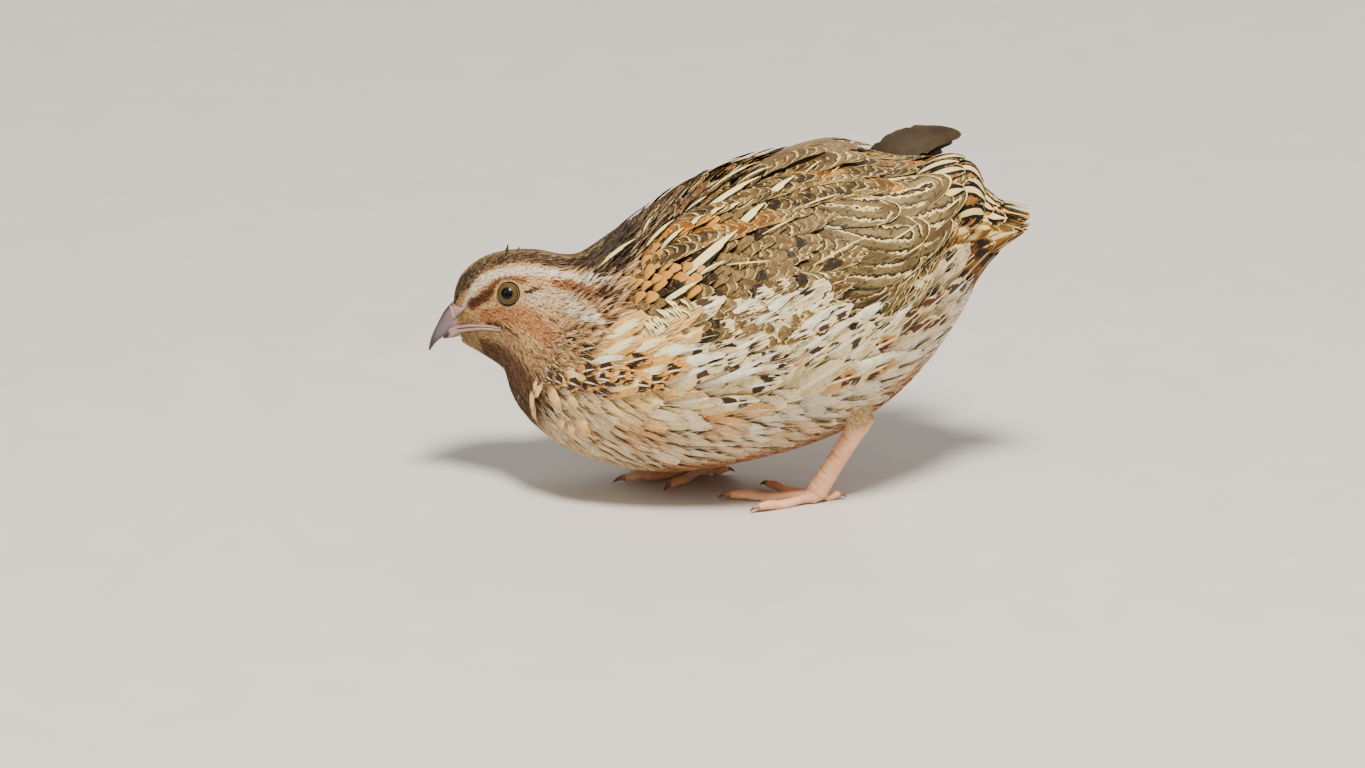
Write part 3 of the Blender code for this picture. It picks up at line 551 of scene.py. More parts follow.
class Graph:
    """Shorthand for building a node tree."""

    def __init__(self, name):
        self.material = bpy.data.materials.new(name)
        self.material.use_nodes = True
        self.tree = self.material.node_tree
        self.shader = self.tree.nodes["Principled BSDF"]

    def feed(self, socket, value):
        if isinstance(value, Value):
            self.tree.links.new(value.socket, socket)
        elif isinstance(value, (tuple, list)) and socket.type == "RGBA":
            socket.default_value = (*linear(value), 1.0)
        else:
            socket.default_value = value

    def node(self, kind, *given, **settings):
        """A node of this kind, with its first inputs given in order."""
        made = self.tree.nodes.new("ShaderNode" + kind)
        for key, value in settings.items():
            setattr(made, key, value)
        for socket, value in zip(made.inputs, given):
            self.feed(socket, value)
        return made

    def out(self, made, which=0):
        return Value(self, made.outputs[which])

    def math(self, operation, *values):
        return self.out(self.node("Math", *values, operation=operation))

    def smooth(self, value, low, high, start=0.0, end=1.0):
        return self.out(self.node("MapRange", value, low, high, start, end, interpolation_type="SMOOTHSTEP"))

    def mix(self, share, one, other, blend="MIX"):
        made = self.node("Mix", data_type="RGBA", blend_type=blend)
        self.feed(made.inputs[0], share)
        self.feed(made.inputs[6], one)
        self.feed(made.inputs[7], other)
        return self.out(made, 2)

    def attribute(self, name):
        """A vertex colour: as a colour, its alpha, and its three numbers."""
        made = self.node("Attribute", attribute_name=name)
        colour = self.out(made, "Color")
        split = self.node("SeparateColor", colour)
        return colour, self.out(made, "Alpha"), [self.out(split, i) for i in range(3)]

    def vector(self, x, y, z):
        return self.out(self.node("CombineXYZ", x, y, z))

    def noise(self, place, scale, detail=2.0):
        made = self.node("TexNoise")
        for name, value in (("Vector", place), ("Scale", scale), ("Detail", detail)):
            self.feed(made.inputs[name], value)
        return self.out(made, "Fac")

    def place(self):
        return self.out(self.node("TexCoord"), "Object")

    def bump(self, height, strength, distance):
        made = self.node("Bump")
        for name, value in (("Height", height), ("Strength", strength), ("Distance", distance * MM)):
            self.feed(made.inputs[name], value)
        return self.out(made)

    def finish(self, colour, roughness, normal=None, **numbers):
        self.feed(self.shader.inputs["Base Color"], colour)
        self.feed(self.shader.inputs["Roughness"], roughness)
        if normal is not None:
            self.feed(self.shader.inputs["Normal"], normal)
        for name, value in numbers.items():
            self.feed(self.shader.inputs[name.replace("_", " ")], value)
        return self.material


class Vane(Graph):
    """A feather's vane, with the places and numbers that its mesh carries."""

    def __init__(self, name, barb):
        super().__init__(name)
        split = self.node("SeparateXYZ", self.out(self.node("UVMap", uv_map="Vane")))
        u, v = self.out(split, 0), self.out(split, 1)
        self.ground, chance, _ = self.attribute("ground")
        self.dark, self.bar, _ = self.attribute("dark")
        self.pale, self.streak, _ = self.attribute("pale")
        _, self.rim, (self.count, self.fringe, self.spot) = self.attribute("form")
        _, self.nest, (long_share, wide_share, self.lace) = self.attribute("size")
        self.u, self.chance = u, chance
        self.length, self.half = long_share * SIZE_UNIT, wide_share * (SIZE_UNIT / 2)
        self.signed = v * 2.0 - 1.0
        self.across = self.math("ABSOLUTE", self.signed)
        ahead, side = u * self.length, self.across * self.half
        self.to_side, self.to_tip = self.half - side, self.length - ahead
        seed = chance * 61.0
        self.wobble = self.noise(self.vector(u * 3.0, v * 2.2, seed), 1.6, 3.0)
        self.mottle = self.noise(self.vector(ahead, self.signed * self.half, seed), 0.8, 2.0)
        self.ragged = self.mottle - 0.5
        run = (ahead - side * 1.15) * (math.tau / barb) + self.wobble * 9.0
        self.barbs = self.math("SINE", run) * 0.5 + 0.5
        self.clumps = self.noise(self.vector(run * 0.11, side * 0.15, seed), 1.0, 1.0)

    def bars(self):
        phase = self.u * (self.count * COUNT_UNIT) + self.across * 0.28 + self.wobble * 0.9 + self.chance
        wave = self.math("SINE", phase * math.tau)
        return self.smooth(wave, -0.05, 0.35) * self.smooth(self.mottle, 0.3, 0.45) * self.bar

    def streaks(self):
        """The pale shaft streak and its dark border."""
        lens = self.smooth(self.u, 0.0, 0.4, 0.35, 1.0) * self.smooth(self.u, 0.7, 1.02, 1.0, 0.12)
        half = self.streak * lens
        border_half = self.rim * self.smooth(self.mottle, 0.3, 0.6, 0.5, 1.0) + half
        streak = self.smooth(self.across, half + 0.035, half - 0.03) * (self.streak > 0.01)
        return streak, self.smooth(self.across, border_half + 0.1, border_half) * (self.rim > 0.01)

    def spots(self):
        """Two round spots, one on either side of the shaft."""
        turned = self.signed * self.math("SIGN", self.chance - 0.5)
        radius = self.math("MINIMUM", SPOT_RADIUS, self.length * 0.27)
        found = []
        for middle_u, middle_v, part in ((0.76, 0.3, 1.0), (0.5, -0.45, 0.72)):
            reach = radius * part
            gap_u = (self.u - middle_u) * self.length / reach * 0.72
            gap_v = (turned - middle_v) * self.half / reach
            found.append(self.smooth(gap_u * gap_u + gap_v * gap_v + self.ragged * 1.6, 1.2, 0.7))
        return self.math("MAXIMUM", *found) * self.spot

    def laces(self):
        """Thin pale lines, their dark inner edges, and dark blots between them."""
        inside = self.math("MINIMUM", self.to_tip, (1.0 - self.nest) * 30.0 + self.to_side)
        turn = self.math("FRACT", (self.ragged * 2.2 + inside) / LACE_STEP) * LACE_STEP
        broken = self.math("MAXIMUM", self.smooth(self.wobble, 0.36, 0.5), self.smooth(inside, 1.2, 0.6))
        strength = broken * self.lace
        blot = self.smooth(self.mottle, 0.56, 0.66) * (self.lace * 0.7)
        return self.smooth(turn, 0.62, 0.42) * strength, self.smooth(turn, 1.35, 0.75) * strength, blot

    def edge(self):
        """The pale fringe."""
        near = self.math("MINIMUM", self.to_side, self.to_tip) + self.ragged * 0.25
        return self.smooth(near, self.fringe * 1.25, self.fringe * 0.75) * (self.fringe > 0.01)


def feather_material(name, barb, lines, shine=0.26, veil=0.08):
    """barb is the distance between the fine lines in millimetres and lines how much they show."""
    g = Vane(name, barb)
    streak, rim = g.streaks()
    lace, inner, blot = g.laces()
    colour = g.mix(g.smooth(g.wobble, 0.3, 0.75, 0.0, 0.28), g.ground, g.pale)
    colour = g.mix(g.smooth(g.mottle, 0.62, 0.3, 0.0, 0.16), colour, g.dark)
    for mask, ink in (
        (blot, g.dark), (g.bars(), g.dark), (inner, g.dark), (lace, g.pale), (rim, g.dark),
        (g.spots(), g.dark), (streak, g.pale), (g.edge(), g.pale),
    ):
        colour = g.mix(mask, colour, ink)
    # fine barb lines and clumps, times painted shade towards each vane's root
    barbs_and_root_shade = g.smooth(g.barbs, 0.0, 1.0, 1 - 0.2 * lines, 1 + 0.1 * lines)
    barbs_and_root_shade = barbs_and_root_shade * g.smooth(g.clumps, 0.25, 0.75, 1 - 0.3 * lines, 1 + 0.14 * lines)
    # painted shade: each vane is darker towards its root, where the feather above would shade it
    barbs_and_root_shade = barbs_and_root_shade * g.smooth(g.u, 0.0, 0.5, 0.7, 1.0)
    colour = g.mix(1.0, colour, g.vector(barbs_and_root_shade, barbs_and_root_shade, barbs_and_root_shade), "MULTIPLY")
    height = g.barbs * 0.6 + g.clumps * 0.9 + g.smooth(g.across, 0.09, 0.02)
    normal = g.bump(height, 0.35 * lines + 0.1, 0.12)
    roughness = g.smooth(g.barbs, 0.0, 1.0, VANE_ROUGHNESS + 0.08, VANE_ROUGHNESS - 0.06)
    return g.finish(colour, roughness, normal, Specular_IOR_Level=shine, Sheen_Weight=veil,
                    Sheen_Roughness=0.45)


def skin_material():
    g = Graph("skin_with_down")
    ground, _, _ = g.attribute("ground")
    coarse, fine = g.noise(g.place(), 900.0, 3.0), g.noise(g.place(), 4200.0, 2.0)
    colour = g.mix(g.smooth(coarse, 0.35, 0.7, 0.1, 0.6), ground, (66, 48, 34))
    return g.finish(colour, g.smooth(fine, 0.3, 0.7, 0.7, 0.9), g.bump(coarse + fine, 0.6, 0.25),
                    Specular_IOR_Level=0.2)


def horn_material():
    """The bill: pinkish at its root, grey along its middle and dark at the tip, with painted shade along its
    cutting edges, inside the mouth and in the nostril's slit.
    """
    g = Graph("bill_horn")
    _, _, (along, turn, edge) = g.attribute("zone")
    grain = g.noise(g.vector(along * 2.0, turn * 9.0, 0.0), 3.0, 4.0)
    body = g.mix(g.smooth(along, 0.06, 0.42), (158, 124, 116), (112, 98, 104))
    for mask, ink in (
        (g.smooth(grain, 0.35, 0.7, 0.0, 0.35), (96, 78, 78)),
        (g.smooth(g.math("ABSOLUTE", turn - 0.4), 0.2, 0.05, 0.0, 0.85), (54, 44, 44)),
        (g.smooth(along + grain * 0.14, 0.6, 0.98), (44, 36, 34)),
        (g.smooth(turn, 0.012, 0.0, 0.0, 0.55), (196, 160, 148)),
        # painted shade along the cutting edges, inside the mouth and in the nostril's slit
        (edge * 0.8, (58, 42, 36)),
    ):
        body = g.mix(mask, body, ink)
    return g.finish(body, g.smooth(grain, 0.3, 0.7, 0.24, 0.36), g.bump(grain, 0.25, 0.2),
                    Specular_IOR_Level=0.6)


def scute_material():
    """Bare scaly skin of shank and toes."""
    g = Graph("leg_scutes")
    _, _, (groove, _, _) = g.attribute("zone")
    blotch = g.noise(g.place(), 260.0, 3.0)
    cells = g.node("TexVoronoi", feature="DISTANCE_TO_EDGE")
    g.feed(cells.inputs["Vector"], g.place())
    g.feed(cells.inputs["Scale"], 1500.0)
    cracks = g.smooth(g.out(cells, "Distance"), 0.0, 0.12)
    colour = g.mix(g.smooth(blotch, 0.35, 0.65), (255, 204, 158), (246, 178, 136))
    colour = g.mix(groove * 0.75, colour, (164, 92, 66))
    colour = g.mix((1.0 - cracks) * 0.25, colour, (176, 104, 76))
    return g.finish(colour, g.smooth(blotch, 0.3, 0.7, 0.36, 0.5), g.bump(cracks * 0.5 - groove, 0.5, 0.14),
                    Specular_IOR_Level=0.5, Subsurface_Weight=0.1, Subsurface_Scale=0.001)


def claw_material():
    g = Graph("claw_horn")
    _, _, (along, _, _) = g.attribute("zone")
    grain = g.noise(g.place(), 900.0, 3.0)
    colour = g.mix(g.smooth(along, 0.2, 1.0), (176, 128, 98), (66, 48, 40))
    colour = g.mix(g.smooth(grain, 0.4, 0.7, 0.0, 0.4), colour, (104, 76, 60))
    return g.finish(colour, g.smooth(grain, 0.3, 0.7, 0.3, 0.45), g.bump(grain, 0.3, 0.1),
                    Specular_IOR_Level=0.5)


def eye_material():
    """Black pupil, olive-brown iris with fine fibres, dark rim, and a wet coat over all of it."""
    g = Graph("eye_wet")
    _, _, (angle, turn, _) = g.attribute("zone")
    fibres = g.noise(g.vector(turn * 60.0, angle * 3.0, 0.0), 1.0, 3.0)
    colour = g.mix(g.smooth(fibres, 0.3, 0.7), (78, 60, 27), (96, 76, 38))
    for low, high, ink in ((0.34, 0.25, (56, 40, 19)), (0.45, 0.5, (24, 17, 12)), (0.262, 0.245, (3, 3, 3))):
        colour = g.mix(g.smooth(angle, low, high), colour, ink)
    return g.finish(colour, g.smooth(fibres, 0.3, 0.7, 0.35, 0.45), g.bump(fibres, 0.1, 0.05),
                    Specular_IOR_Level=0.1, Coat_Weight=0.4, Coat_Roughness=0.02, Coat_IOR=1.34)


def lid_material():
    g = Graph("eyelid_skin")
    _, _, (out, turn, _) = g.attribute("zone")
    grain = g.noise(g.vector(turn * 40.0, out * 6.0, 0.0), 1.0, 3.0)
    colour = g.mix(g.smooth(out, 0.4, 0.95), (52, 38, 25), (112, 84, 54))
    colour = g.mix(g.smooth(grain, 0.4, 0.7, 0.0, 0.5), colour, (92, 72, 46))
    return g.finish(colour, g.smooth(grain, 0.3, 0.7, 0.42, 0.6), g.bump(grain, 0.5, 0.12),
                    Specular_IOR_Level=0.4)


# Blades: feathers as thin closed vanes, all of one shape made together


class Shape:
    """The outline of a feather, as a grid along and across it.

    tip is the width at the end as a share of the full width, round_ how much shorter the sides
    are than the middle, and jag how deep the notches between the barbs at the end are."""

    def __init__(self, rows, columns, root=0.35, tip=0.6, round_=0.4, jag=0.1, thick=0.1, shaft=False):
        v = np.linspace(-1.0, 1.0, columns + 1)
        if shaft:
            v = np.sort(np.append(v, (-0.05, 0.05)))
        self.v, self.s = v, np.linspace(0.0, 1.0, rows + 1)
        self.jag, self.thick = jag, thick
        rise = root + (1 - root) * np.sin(np.minimum(self.s / 0.5, 1.0) * math.pi / 2)
        fall = 1 - (1 - tip) * np.clip((self.s - 0.5) / 0.5, 0.0, 1.0) ** 2
        self.width = rise * fall
        self.reach = 1 - round_ * (1 - np.sqrt(1 - (0.98 * v) ** 2))
        across, count = len(v), rows + 1
        low = count * across
        quads, triangles = [], []
        for i in range(rows):
            for j in range(across - 1):
                here = i * across + j
                quads.append((here, here + across, here + across + 1, here + 1))
            left, right = i * across, i * across + across - 1
            quads.append((left, low + i, low + i + 1, left + across))
            quads.append((right, right + across, low + i + 1, low + i))
        for j in range(across - 1):
            triangles.append((j, j + 1, low))
            end = rows * across + j
            triangles.append((end + 1, end, low + rows))
        self.quads, self.triangles = np.array(quads), np.array(triangles)
        self.size = low + count

    def middle(self, points):
        """The line of points under the shaft."""
        last = len(self.v) - 1
        return (points[:, :, last // 2] + points[:, :, (last + 1) // 2]) / 2

    def grid(self, count, rng):
        """For each feather, how far along and across each point of the grid is."""
        wave = 1 + 0.05 * rng.standard_normal((count, len(self.s), 1))
        cut = rng.random((count, 1, len(self.v))) * self.jag
        cut[..., ::2] += self.jag * 0.6
        cut[..., ::2] *= 1.35
        ahead = self.s[None, :, None] * self.reach[None, None, :]
        ahead = ahead * (1 - cut * self.s[None, :, None] ** 5)
        side = self.width[None, :, None] * self.v[None, None, :] * wave
        return ahead, side


SHAPES = {
    "tuft": Shape(3, 8, root=0.5, tip=0.62, round_=0.25, jag=0.75, thick=0.04),
    "hair": Shape(2, 1, root=0.7, tip=0.2, round_=0.0, jag=0.0, thick=0.06),
    "small": Shape(4, 6, tip=0.55, round_=0.35, jag=0.3, thick=0.07),
    "contour": Shape(6, 8, tip=0.62, round_=0.42, jag=0.04, thick=0.1),
    "soft": Shape(6, 14, tip=0.85, round_=0.3, jag=0.24, thick=0.1),
    "lance": Shape(8, 8, tip=0.28, round_=0.75, jag=0.04, thick=0.12),
    "covert": Shape(8, 10, tip=0.72, round_=0.45, jag=0.03, thick=0.12, shaft=True),
    "flight": Shape(16, 12, root=0.5, tip=0.6, round_=0.3, jag=0.0, thick=0.14, shaft=True),
    "wisp": Shape(4, 1, root=0.6, tip=0.12, round_=0.0, jag=0.0, thick=0.12),
}


def bake_place(t, a):
    """Where a root lies on the unwrap of the body's skin: t along, a round it."""
    along, round_ = t / (len(SECTIONS) - 1), ((a + 180.0) % 360.0) / 360.0
    return 0.02 + 0.96 * np.stack([along, round_], -1)


PATCH = 0.003  # size of a feather on the unwrap


class Coat:
    """Collects feathers and turns each named group of them into one piece."""

    def __init__(self):
        self.groups = {}

    def add(self, group, shape, tops, lows, ahead, side, bake, length, width, looks, rng):
        """tops is (feathers, rows, columns, 3), lows the row of points below the shaft."""
        count = len(tops)
        points = np.concatenate([tops.reshape(count, -1, 3), lows], axis=1)
        steps = np.repeat(shape.s, len(shape.v))
        flat_ahead = np.broadcast_to(np.concatenate([steps, shape.s]), (count, shape.size))
        flat_side = np.concatenate([side.reshape(count, -1), ahead[:, :, 0] * 0], axis=1)
        limit = np.abs(flat_side).max(axis=1, keepdims=True)
        across = flat_side / limit
        vane = np.stack([flat_ahead, across * 0.5 + 0.5], -1)
        spot = bake[:, None] + np.stack([flat_ahead - 0.5, across * 0.5], -1) * PATCH
        chance = rng.random(count)
        numbers = {
            "ground": np.c_[looks[:, 0:3], chance],
            "dark": np.c_[looks[:, 3:6], looks[:, BAR]],
            "pale": np.c_[looks[:, 6:9], looks[:, STREAK]],
            "form": np.c_[looks[:, COUNT] / COUNT_UNIT, looks[:, FRINGE], looks[:, SPOT], looks[:, RIM]],
            "size": np.c_[length / SIZE_UNIT, width / SIZE_UNIT, looks[:, LACE], looks[:, NEST]],
        }
        self.groups.setdefault(group, []).append((shape, points, vane, spot, numbers))

    def make(self, finishes, slots, replaced):
        for group, parts in self.groups.items():
            quads, triangles, start = [], [], 0
            for shape, points, *_ in parts:
                offset = start + np.arange(len(points)) * shape.size
                quads.append((shape.quads[None] + offset[:, None, None]).reshape(-1, 4))
                triangles.append((shape.triangles[None] + offset[:, None, None]).reshape(-1, 3))
                start += len(points) * shape.size
            points = np.concatenate([part[1].reshape(-1, 3) for part in parts])
            quads, triangles = np.concatenate(quads), np.concatenate(triangles)
            mesh = build_mesh(group, points, quads, triangles, sharp=60.0)
            add_map(mesh, "Vane", np.concatenate([part[2].reshape(-1, 2) for part in parts]))
            add_map(mesh, "OFBake", np.concatenate([part[3].reshape(-1, 2) for part in parts]))
            for name in ("ground", "dark", "pale", "form", "size"):
                values = [np.repeat(part[4][name], part[0].size, axis=0) for part in parts]
                add_colour(mesh, name, np.concatenate(values))
            kind = group.split("_")[0]
            new_object(group, mesh, finishes[kind], slots[kind], replaced.get(group, ()))


COAT = Coat()


def bend_heights(heights, s):
    """A curve through the heights at the root, the middle and the tip, for each feather."""
    low, middle, high = (np.asarray(h, float).reshape(-1, 1, 1) for h in heights)
    return low * (1 - s) * (1 - 2 * s) + 4 * middle * s * (1 - s) + high * s * (2 * s - 1)


def coat_step(along, round_, way):
    """How far t and a change along way, from the coat's derivatives there."""
    g11, g12, g22 = dot(along, along), dot(along, round_), dot(round_, round_)
    b1, b2 = dot(along, way), dot(round_, way)
    scale = np.maximum(g11 * g22 - g12**2, 1e-9)
    return (g22 * b1 - g12 * b2) / scale, (g11 * b2 - g12 * b1) / scale


def lay(group, kind, root, tip, width, heights, looks, rng, side=1, bulge=0.0, roll=0.0, camber=0.12):
    """Feathers along the coat from root to tip, both arrays of (t, a), on the left or, where side is
    -1, on the right.

    heights are the distances outside the coat at root, middle and tip. bulge bends the path, in
    degrees of a. roll is how far the lower edge stands out and the upper edge lies in."""
    shape = SHAPES[kind]
    root, tip = (np.asarray(place, float) * (1.0, side) for place in (root, tip))
    count = len(root)
    width, bulge, roll = (np.broadcast_to(np.asarray(v, float), (count,)) for v in (width, bulge, roll))
    side_sign = np.where((root[:, 1] + 180) % 360 - 180 >= 0, 1.0, -1.0)
    bulge = bulge * side_sign
    run_t, run_a = (tip - root).T[:, :, None]
    s = shape.s[None]
    t = root[:, :1] + run_t * s
    a = root[:, 1:] + run_a * s + bulge[:, None] * 4 * s * (1 - s)
    along, round_, normal = slopes(t, a)
    step_a = run_a + bulge[:, None] * 4 * (1 - 2 * s)
    ahead = along * (run_t + 0 * s)[..., None] + round_ * step_a[..., None]
    speed = np.linalg.norm(ahead, axis=-1)
    across = np.cross(normal, ahead / np.maximum(speed, 1e-9)[..., None])
    side_t, side_a = coat_step(along, round_, across)

    far, wide = shape.grid(count, rng)
    half = width[:, None, None] / 2
    grid_t = root[:, :1, None] + run_t[..., None] * far + half * wide * side_t[..., None]
    grid_a = root[:, 1:, None] + run_a[..., None] * far
    grid_a = grid_a + bulge[:, None, None] * 4 * far * (1 - far) + half * wide * side_a[..., None]
    out = bend_heights(heights, far) - camber * half * wide**2
    out = out - (roll * side_sign)[:, None, None] * shape.v * far
    tops = surface(grid_t, grid_a, out)
    lows = shape.middle(tops) - normal * shape.thick
    bake = bake_place(root[:, 0], root[:, 1])
    COAT.add(group, shape, tops, lows, far, wide, bake, speed.mean(axis=1), width, looks, rng)


def fly(group, kind, root, tip, up, width, looks, rng, arch=0.0, curl=0.0, camber=0.12, bake=None):
    """Feathers in free space from root to tip, both arrays of points, with their upper face to up."""
    shape = SHAPES[kind]
    root, tip, up = (np.asarray(v, float) for v in (root, tip, up))
    count = len(root)
    width, arch, curl = (
        np.broadcast_to(np.asarray(v, float), (count,))[:, None, None] for v in (width, arch, curl)
    )
    ahead = unit(tip - root)
    across = unit(np.cross(np.broadcast_to(up, root.shape), ahead))
    over = np.cross(ahead, across)
    far, side = shape.grid(count, rng)
    rise = arch * 4 * far * (1 - far) + curl * far**2 - camber * width / 2 * side**2
    tops = root[:, None, None] + (tip - root)[:, None, None] * far[..., None]
    tops = tops + across[:, None, None] * (width / 2 * side)[..., None]
    tops = tops + over[:, None, None] * rise[..., None]
    lows = shape.middle(tops) - over[:, None] * shape.thick
    length = np.linalg.norm(tip - root, axis=1)
    COAT.add(group, shape, tops, lows, far, side, bake, length, width[:, 0, 0], looks, rng)


def vary(looks, low, span, rng):
    """Makes each feather a little darker or lighter than its look."""
    looks[:, 0:9] *= (low + span * rng.random(len(looks)))[:, None]
    return looks


# Where the body's feathers grow


TRIES = 3.2  # places tried for each root that is wanted


def scatter(spacing, first, last, rng):
    """Roots over the coat between two places, as (t, a), about spacing(t, a) apart."""
    t_edge = np.linspace(first, last, 900)
    a_edge = np.linspace(-180.0, 180.0, 541)
    t_cell, a_cell = t_edge[1] - t_edge[0], a_edge[1] - a_edge[0]
    t, a = np.meshgrid((t_edge[1:] + t_edge[:-1]) / 2, (a_edge[1:] + a_edge[:-1]) / 2, indexing="ij")
    along, round_, _ = slopes(t, a)
    area = np.linalg.norm(np.cross(along, round_), axis=-1) * t_cell * a_cell
    wanted = area / spacing(t, a) ** 2
    total = int(wanted.sum() * TRIES)
    chosen = rng.choice(wanted.size, total, p=(wanted / wanted.sum()).ravel())
    t = t.ravel()[chosen] + (rng.random(total) - 0.5) * t_cell
    a = a.ravel()[chosen] + (rng.random(total) - 0.5) * a_cell
    points, reach = coat(t, a), spacing(t, a)
    tree = tree_of(points)
    free = np.ones(total, bool)
    kept = []
    for i in range(total):
        if free[i]:
            kept.append(i)
            for _, other, _ in tree.find_range(points[i], reach[i]):
                free[other] = False
    return t[kept], a[kept]


TRACT_T = (0.3, 1, 2, 3, 4, 5, 6, 7, 8, 9, 10, 11, 12, 13, 14, 15, 16)
LENGTH_TOP = (1.5, 1.9, 2.2, 2.4, 2.7, 3.4, 5.2, 7.0, 8.0, 8.5, 8.5, 8.5, 9.5, 12, 13, 11, 9)
LENGTH_SIDE = (1.3, 1.6, 1.9, 2.2, 2.7, 4.0, 6.2, 8.0, 10, 12, 13, 13, 12, 11, 10, 9, 8)
LENGTH_LOW = (1.3, 1.7, 2.1, 2.6, 3.4, 5.0, 6.6, 7.8, 8.5, 9, 9, 9, 9.5, 10, 10, 9, 8)
WIDTH_SHARE = ((0, 0.36), (4.2, 0.4), (5.2, 0.36), (7, 0.4), (8.6, 0.52), (16, 0.62))
SPACING_SHARE = (
    (0, 0.225), (3, 0.215), (4.4, 0.21), (5.2, 0.2), (6.5, 0.25), (8, 0.31), (9, 0.35), (16, 0.36),
)
DEPTHS = ((0, 0.5), (1, 0.7), (4, 1.0), (5.5, 1.6), (7, 2.3), (13, 2.4), (15, 1.8), (16, 1.4))


def tract_length(t, a):
    """Length of the feathers that grow at t and a."""
    a = fold_angle(a)
    top, side, low = (np.interp(t, TRACT_T, row) for row in (LENGTH_TOP, LENGTH_SIDE, LENGTH_LOW))
    to_side, to_low = ease((a - 35.0) / 25.0), ease((a - 105.0) / 25.0)
    return (top * (1 - to_side) + side * to_side) * (1 - to_low) + low * to_low


def depth(t, a):
    """How far the skin lies inside the coat."""
    return border(DEPTHS, t) * (1 - 0.25 * wing_share(t, a))


def flow(t, a):
    """The angle in degrees by which feathers point upwards from the line of the body."""
    a = fold_angle(a)
    flank = ease((t - 7.8) / 1.5) * ease((14.0 - t) / 1.5)
    flank = flank * ease((a - 60.0) / 15.0) * ease((128.0 - a) / 20.0)
    cheek = ease((5.5 - t) / 2.0) * ease((a - 60.0) / 20.0)
    return 22.0 * flank - 8.0 * cheek


# Places of the marks, as (t, a) on either side
CROWN_EDGE = (
    (0.0, 28.8), (0.42, 40.2), (1.19, 44.0), (1.9, 31.5), (2.75, 26.0), (3.47, 24.5), (4.1, 23.8),
    (4.93, 22.5), (5.67, 33.0), (6.4, 44.0),
)
STROKES = (  # look, half width in mm, softness in mm, and the line's points
    ("lore_pale", 1.5, 0.6, ((0.69, 74.5), (1.18, 76.0), (2.02, 76.8), (2.63, 73.2))),
    ("cheek", 2.4, 1.2, ((2.01, 85.0), (2.72, 81.8), (3.62, 77.2), (4.2, 79.2), (4.75, 82.5))),
    ("ear", 2.2, 1.0, ((3.86, 60.8), (4.43, 53.2), (5.05, 49.5))),
    ("white", 1.8, 0.5, ((5.3, 61.0), (5.79, 65.5), (6.2, 68.5))),
    ("rufous", 1.5, 0.5, ((4.5, 38.5), (5.11, 42.5), (5.81, 52.3), (6.2, 56.5))),
    ("neck_dark", 1.6, 0.4, ((6.2, 55.0), (6.54, 58.5))),
    ("brow", 1.25, 0.35, ((0.8, 64.5), (1.18, 59.8), (1.53, 49.5), (1.89, 42.8), (2.29, 39.2), (2.86, 37.0),
                          (3.5, 34.0), (4.13, 31.2), (4.76, 30.0), (5.6, 39.8), (6.21, 47.5))),
    ("lores", 1.4, 0.6, ((1.22, 67.2), (1.81, 64.8), (2.39, 55.5), (2.71, 48.8))),
    ("rufous", 0.7, 0.5, ((2.73, 47.8), (3.13, 44.2), (3.58, 47.0))),
    ("lores_dark", 0.75, 0.4, ((1.32, 67.8), (1.81, 64.8), (2.23, 58.0))),
    ("neck_dark", 0.42, 0.2, ((3.76, 56.8), (4.06, 49.8))),
    ("mouth", 0.45, 0.25, ((1.9, 94.0), (2.17, 93.2), (2.58, 93.5), (3.01, 94.5), (3.4, 96.2))),
    ("malar", 1.1, 0.6, ((1.56, 107.2), (2.78, 105.2), (4.06, 100.0))),
)
BREAST_ROWS = (  # half width, share of dark feathers, and the line's points
    (1.9, 0.75, ((5.0, 113.5), (5.98, 109.5), (6.69, 108.5), (7.25, 104.5), (7.57, 101.0), (7.89, 97.5),
                 (8.24, 96.5), (8.5, 97.0))),
    (1.5, 0.6, ((6.6, 98.5), (7.17, 99.0), (7.7, 96.0), (8.0, 88.0), (8.9, 86.0))),
    (1.3, 0.5, ((6.45, 70.0), (6.88, 72.0), (7.03, 76.0), (7.2, 84.0))),
)
DARK_SPOTS = (  # single dark feathers on flank and breast
    (8.37, 99.5), (9.15, 91.2), (9.62, 97.0), (9.97, 97.8), (9.73, 109.5), (9.38, 99.5), (9.11, 105.2),
    (10.19, 99.0), (11.09, 111.8), (9.56, 86.0), (9.74, 84.2), (10.82, 85.2), (10.62, 88.5),
    (10.33, 91.0), (8.9, 86.0), (8.4, 89.0), (11.6, 101.0), (12.3, 97.0), (12.8, 104.0), (13.2, 96.0),
    (11.4, 94.0),
)
RUFOUS_PATCHES = (
    (10.6, 97.0, 4.5), (11.1, 96.0, 4.0), (8.6, 90.5, 3.5), (10.4, 101.0, 3.0), (12.2, 101.0, 3.0),
)


